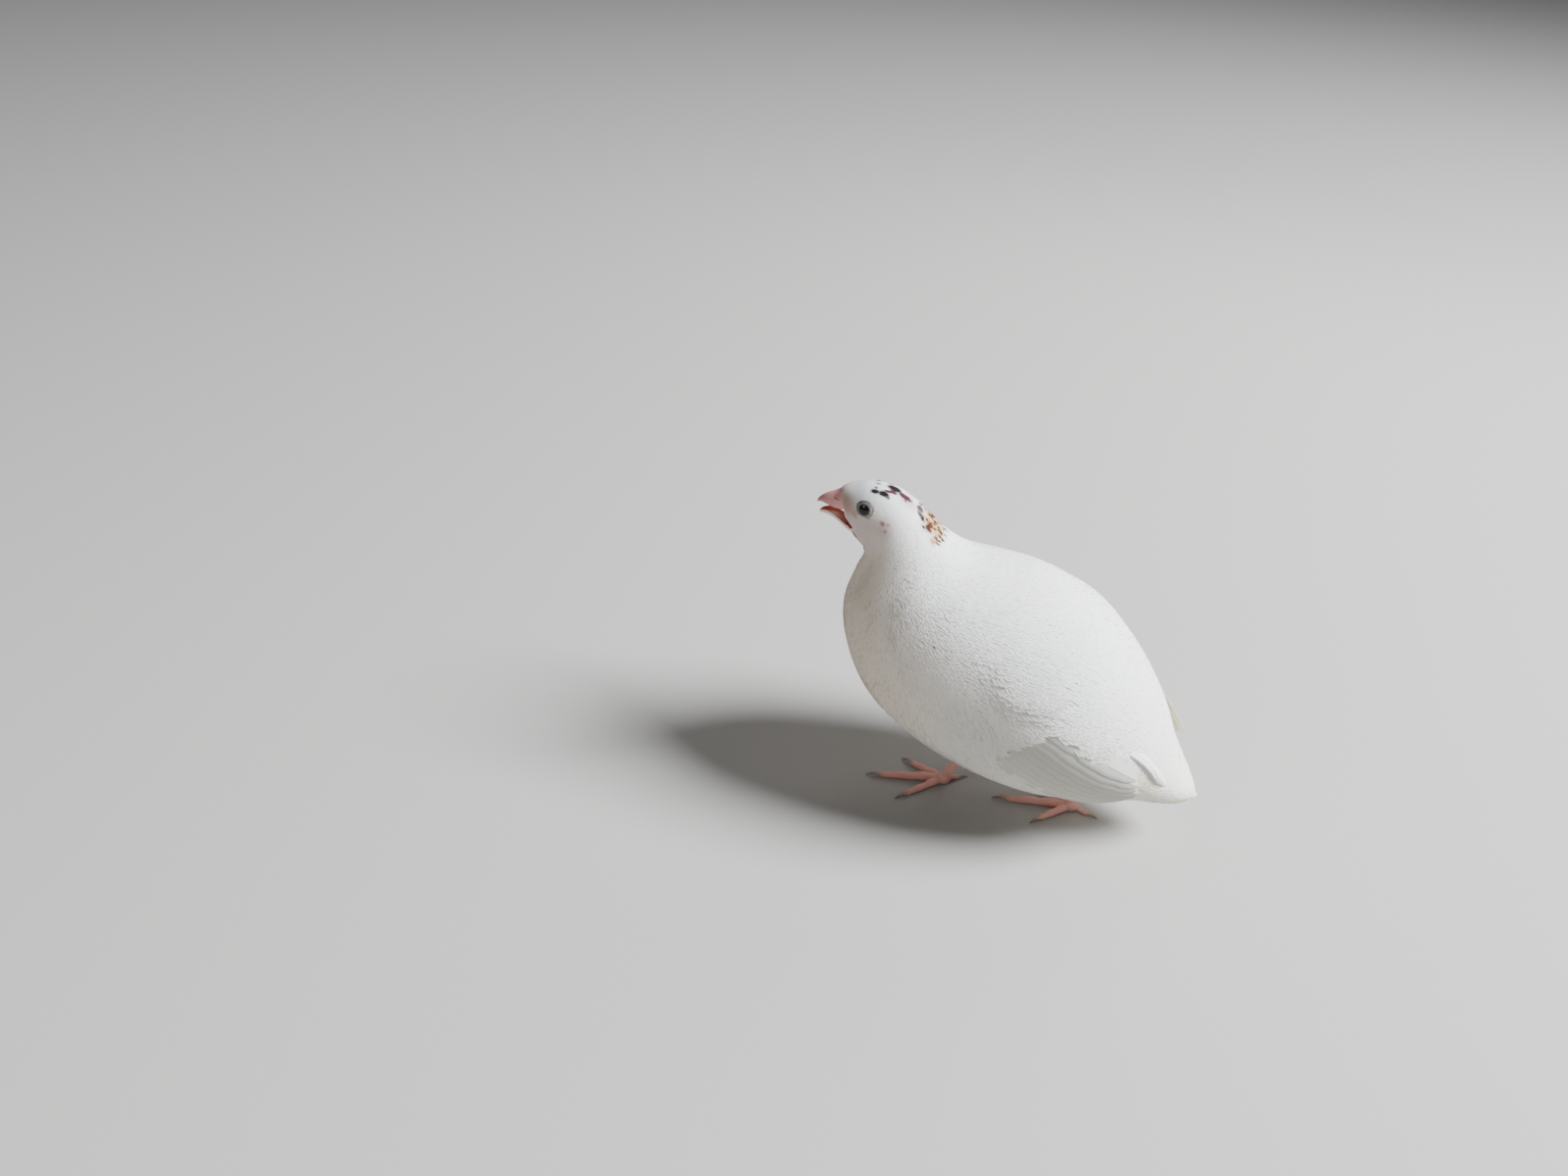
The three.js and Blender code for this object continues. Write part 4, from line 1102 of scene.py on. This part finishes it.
def shank(foot):
    spec = FEET[foot]
    low, high = np.array([*spec["hub"], HUB_HIGH]), np.array(spec["ankle"], float)
    t = np.linspace(0, 0.72, 70)
    ridge = scutes(SHANK_SCUTES, t) * np.ones(28)
    grow = 0.97 + 0.05 * (ridge - 0.5)
    wide, tall = (read_off(SHANK, t, column)[:, None] * grow for column in (1, 2))
    verts, faces = tube_along(low + (high - low) * t[:, None], wide, tall, floor=-5)
    tint = with_ends(LEG_PINK * (0.92 + 0.1 * ridge)[..., None])
    obj = mesh_object(f"shank_{foot}", verts, faces, LEG, tint, box_uv(verts))
    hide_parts(f"leg_{foot}")


# Stage: floor, lamps, world and camera

FLOOR_GREY = (0.4, 0.39, 0.375)
COOL, WARM = (0.94, 0.97, 1), (1, 0.97, 0.93)
# Soft lamps, in the frame's metres: place, size, power and colour.
LAMPS = {
    "key": ((1.61, 0.15, 1.65), 1, 218, COOL), "fill": ((-0.6, -0.8, 0.6), 0.45, 1.6, WARM),
    "rim": ((0.2, 0.7, 0.6), 0.5, 2, WARM),
}
LAMP_AIM = Vector((0, 0, 0.06))
WORLD_COLOUR, WORLD_STRENGTH = (0.8, 0.82, 0.86, 1), 0.17
CAMERA_PLACE = Vector((-1.8, -389.8, 335))
# The camera's directions to its right, up and back.
CAMERA_AXES = Matrix(((0.9599, 0.2752, 0.0543), (-0.1929, 0.5069, 0.8402), (0.2037, -0.8169, 0.5396)))
SENSOR, LENS = 36, 28.19


def stage():
    me = bpy.data.meshes.new("floor")
    e = 4  # half the floor's width
    me.from_pydata([(-e, -e, 0), (e, -e, 0), (e, e, 0), (-e, e, 0)], [], [(0, 1, 2, 3)])
    me.materials.append(shader("floor_grey", 0.9, colour=FLOOR_GREY))
    new_object("floor", me)
    for name, (place, size, power, colour) in LAMPS.items():
        data = bpy.data.lights.new(name, "AREA")
        data.shape, data.size, data.energy, data.color = "DISK", size, power, colour
        lamp = new_object(name, data)
        lamp.location = place
        lamp.rotation_mode = "QUATERNION"
        lamp.rotation_quaternion = (LAMP_AIM - Vector(place)).to_track_quat("-Z", "Y")
    world = bpy.data.worlds.new("studio")
    world.use_nodes = True
    background = world.node_tree.nodes["Background"]
    background.inputs["Color"].default_value = WORLD_COLOUR
    background.inputs["Strength"].default_value = WORLD_STRENGTH
    bpy.context.scene.world = world


def camera():
    data = bpy.data.cameras.new("camera")
    data.sensor_width, data.lens = SENSOR, LENS
    data.clip_start, data.clip_end = 0.01, 20
    cam = new_object("camera", data)
    cam.matrix_world = Matrix.Translation((CAMERA_PLACE + SHIFT) * MM) @ CAMERA_AXES.transposed().to_4x4()
    bpy.context.scene.camera = cam


skin()
bill()
tongue()
eyes()
head_coat()
neck_coat()
body_coat()
for side, sign in (("left", -1), ("right", 1)):
    wing_feathers(side, sign)
tail_feathers()
feet()
stage()
camera()
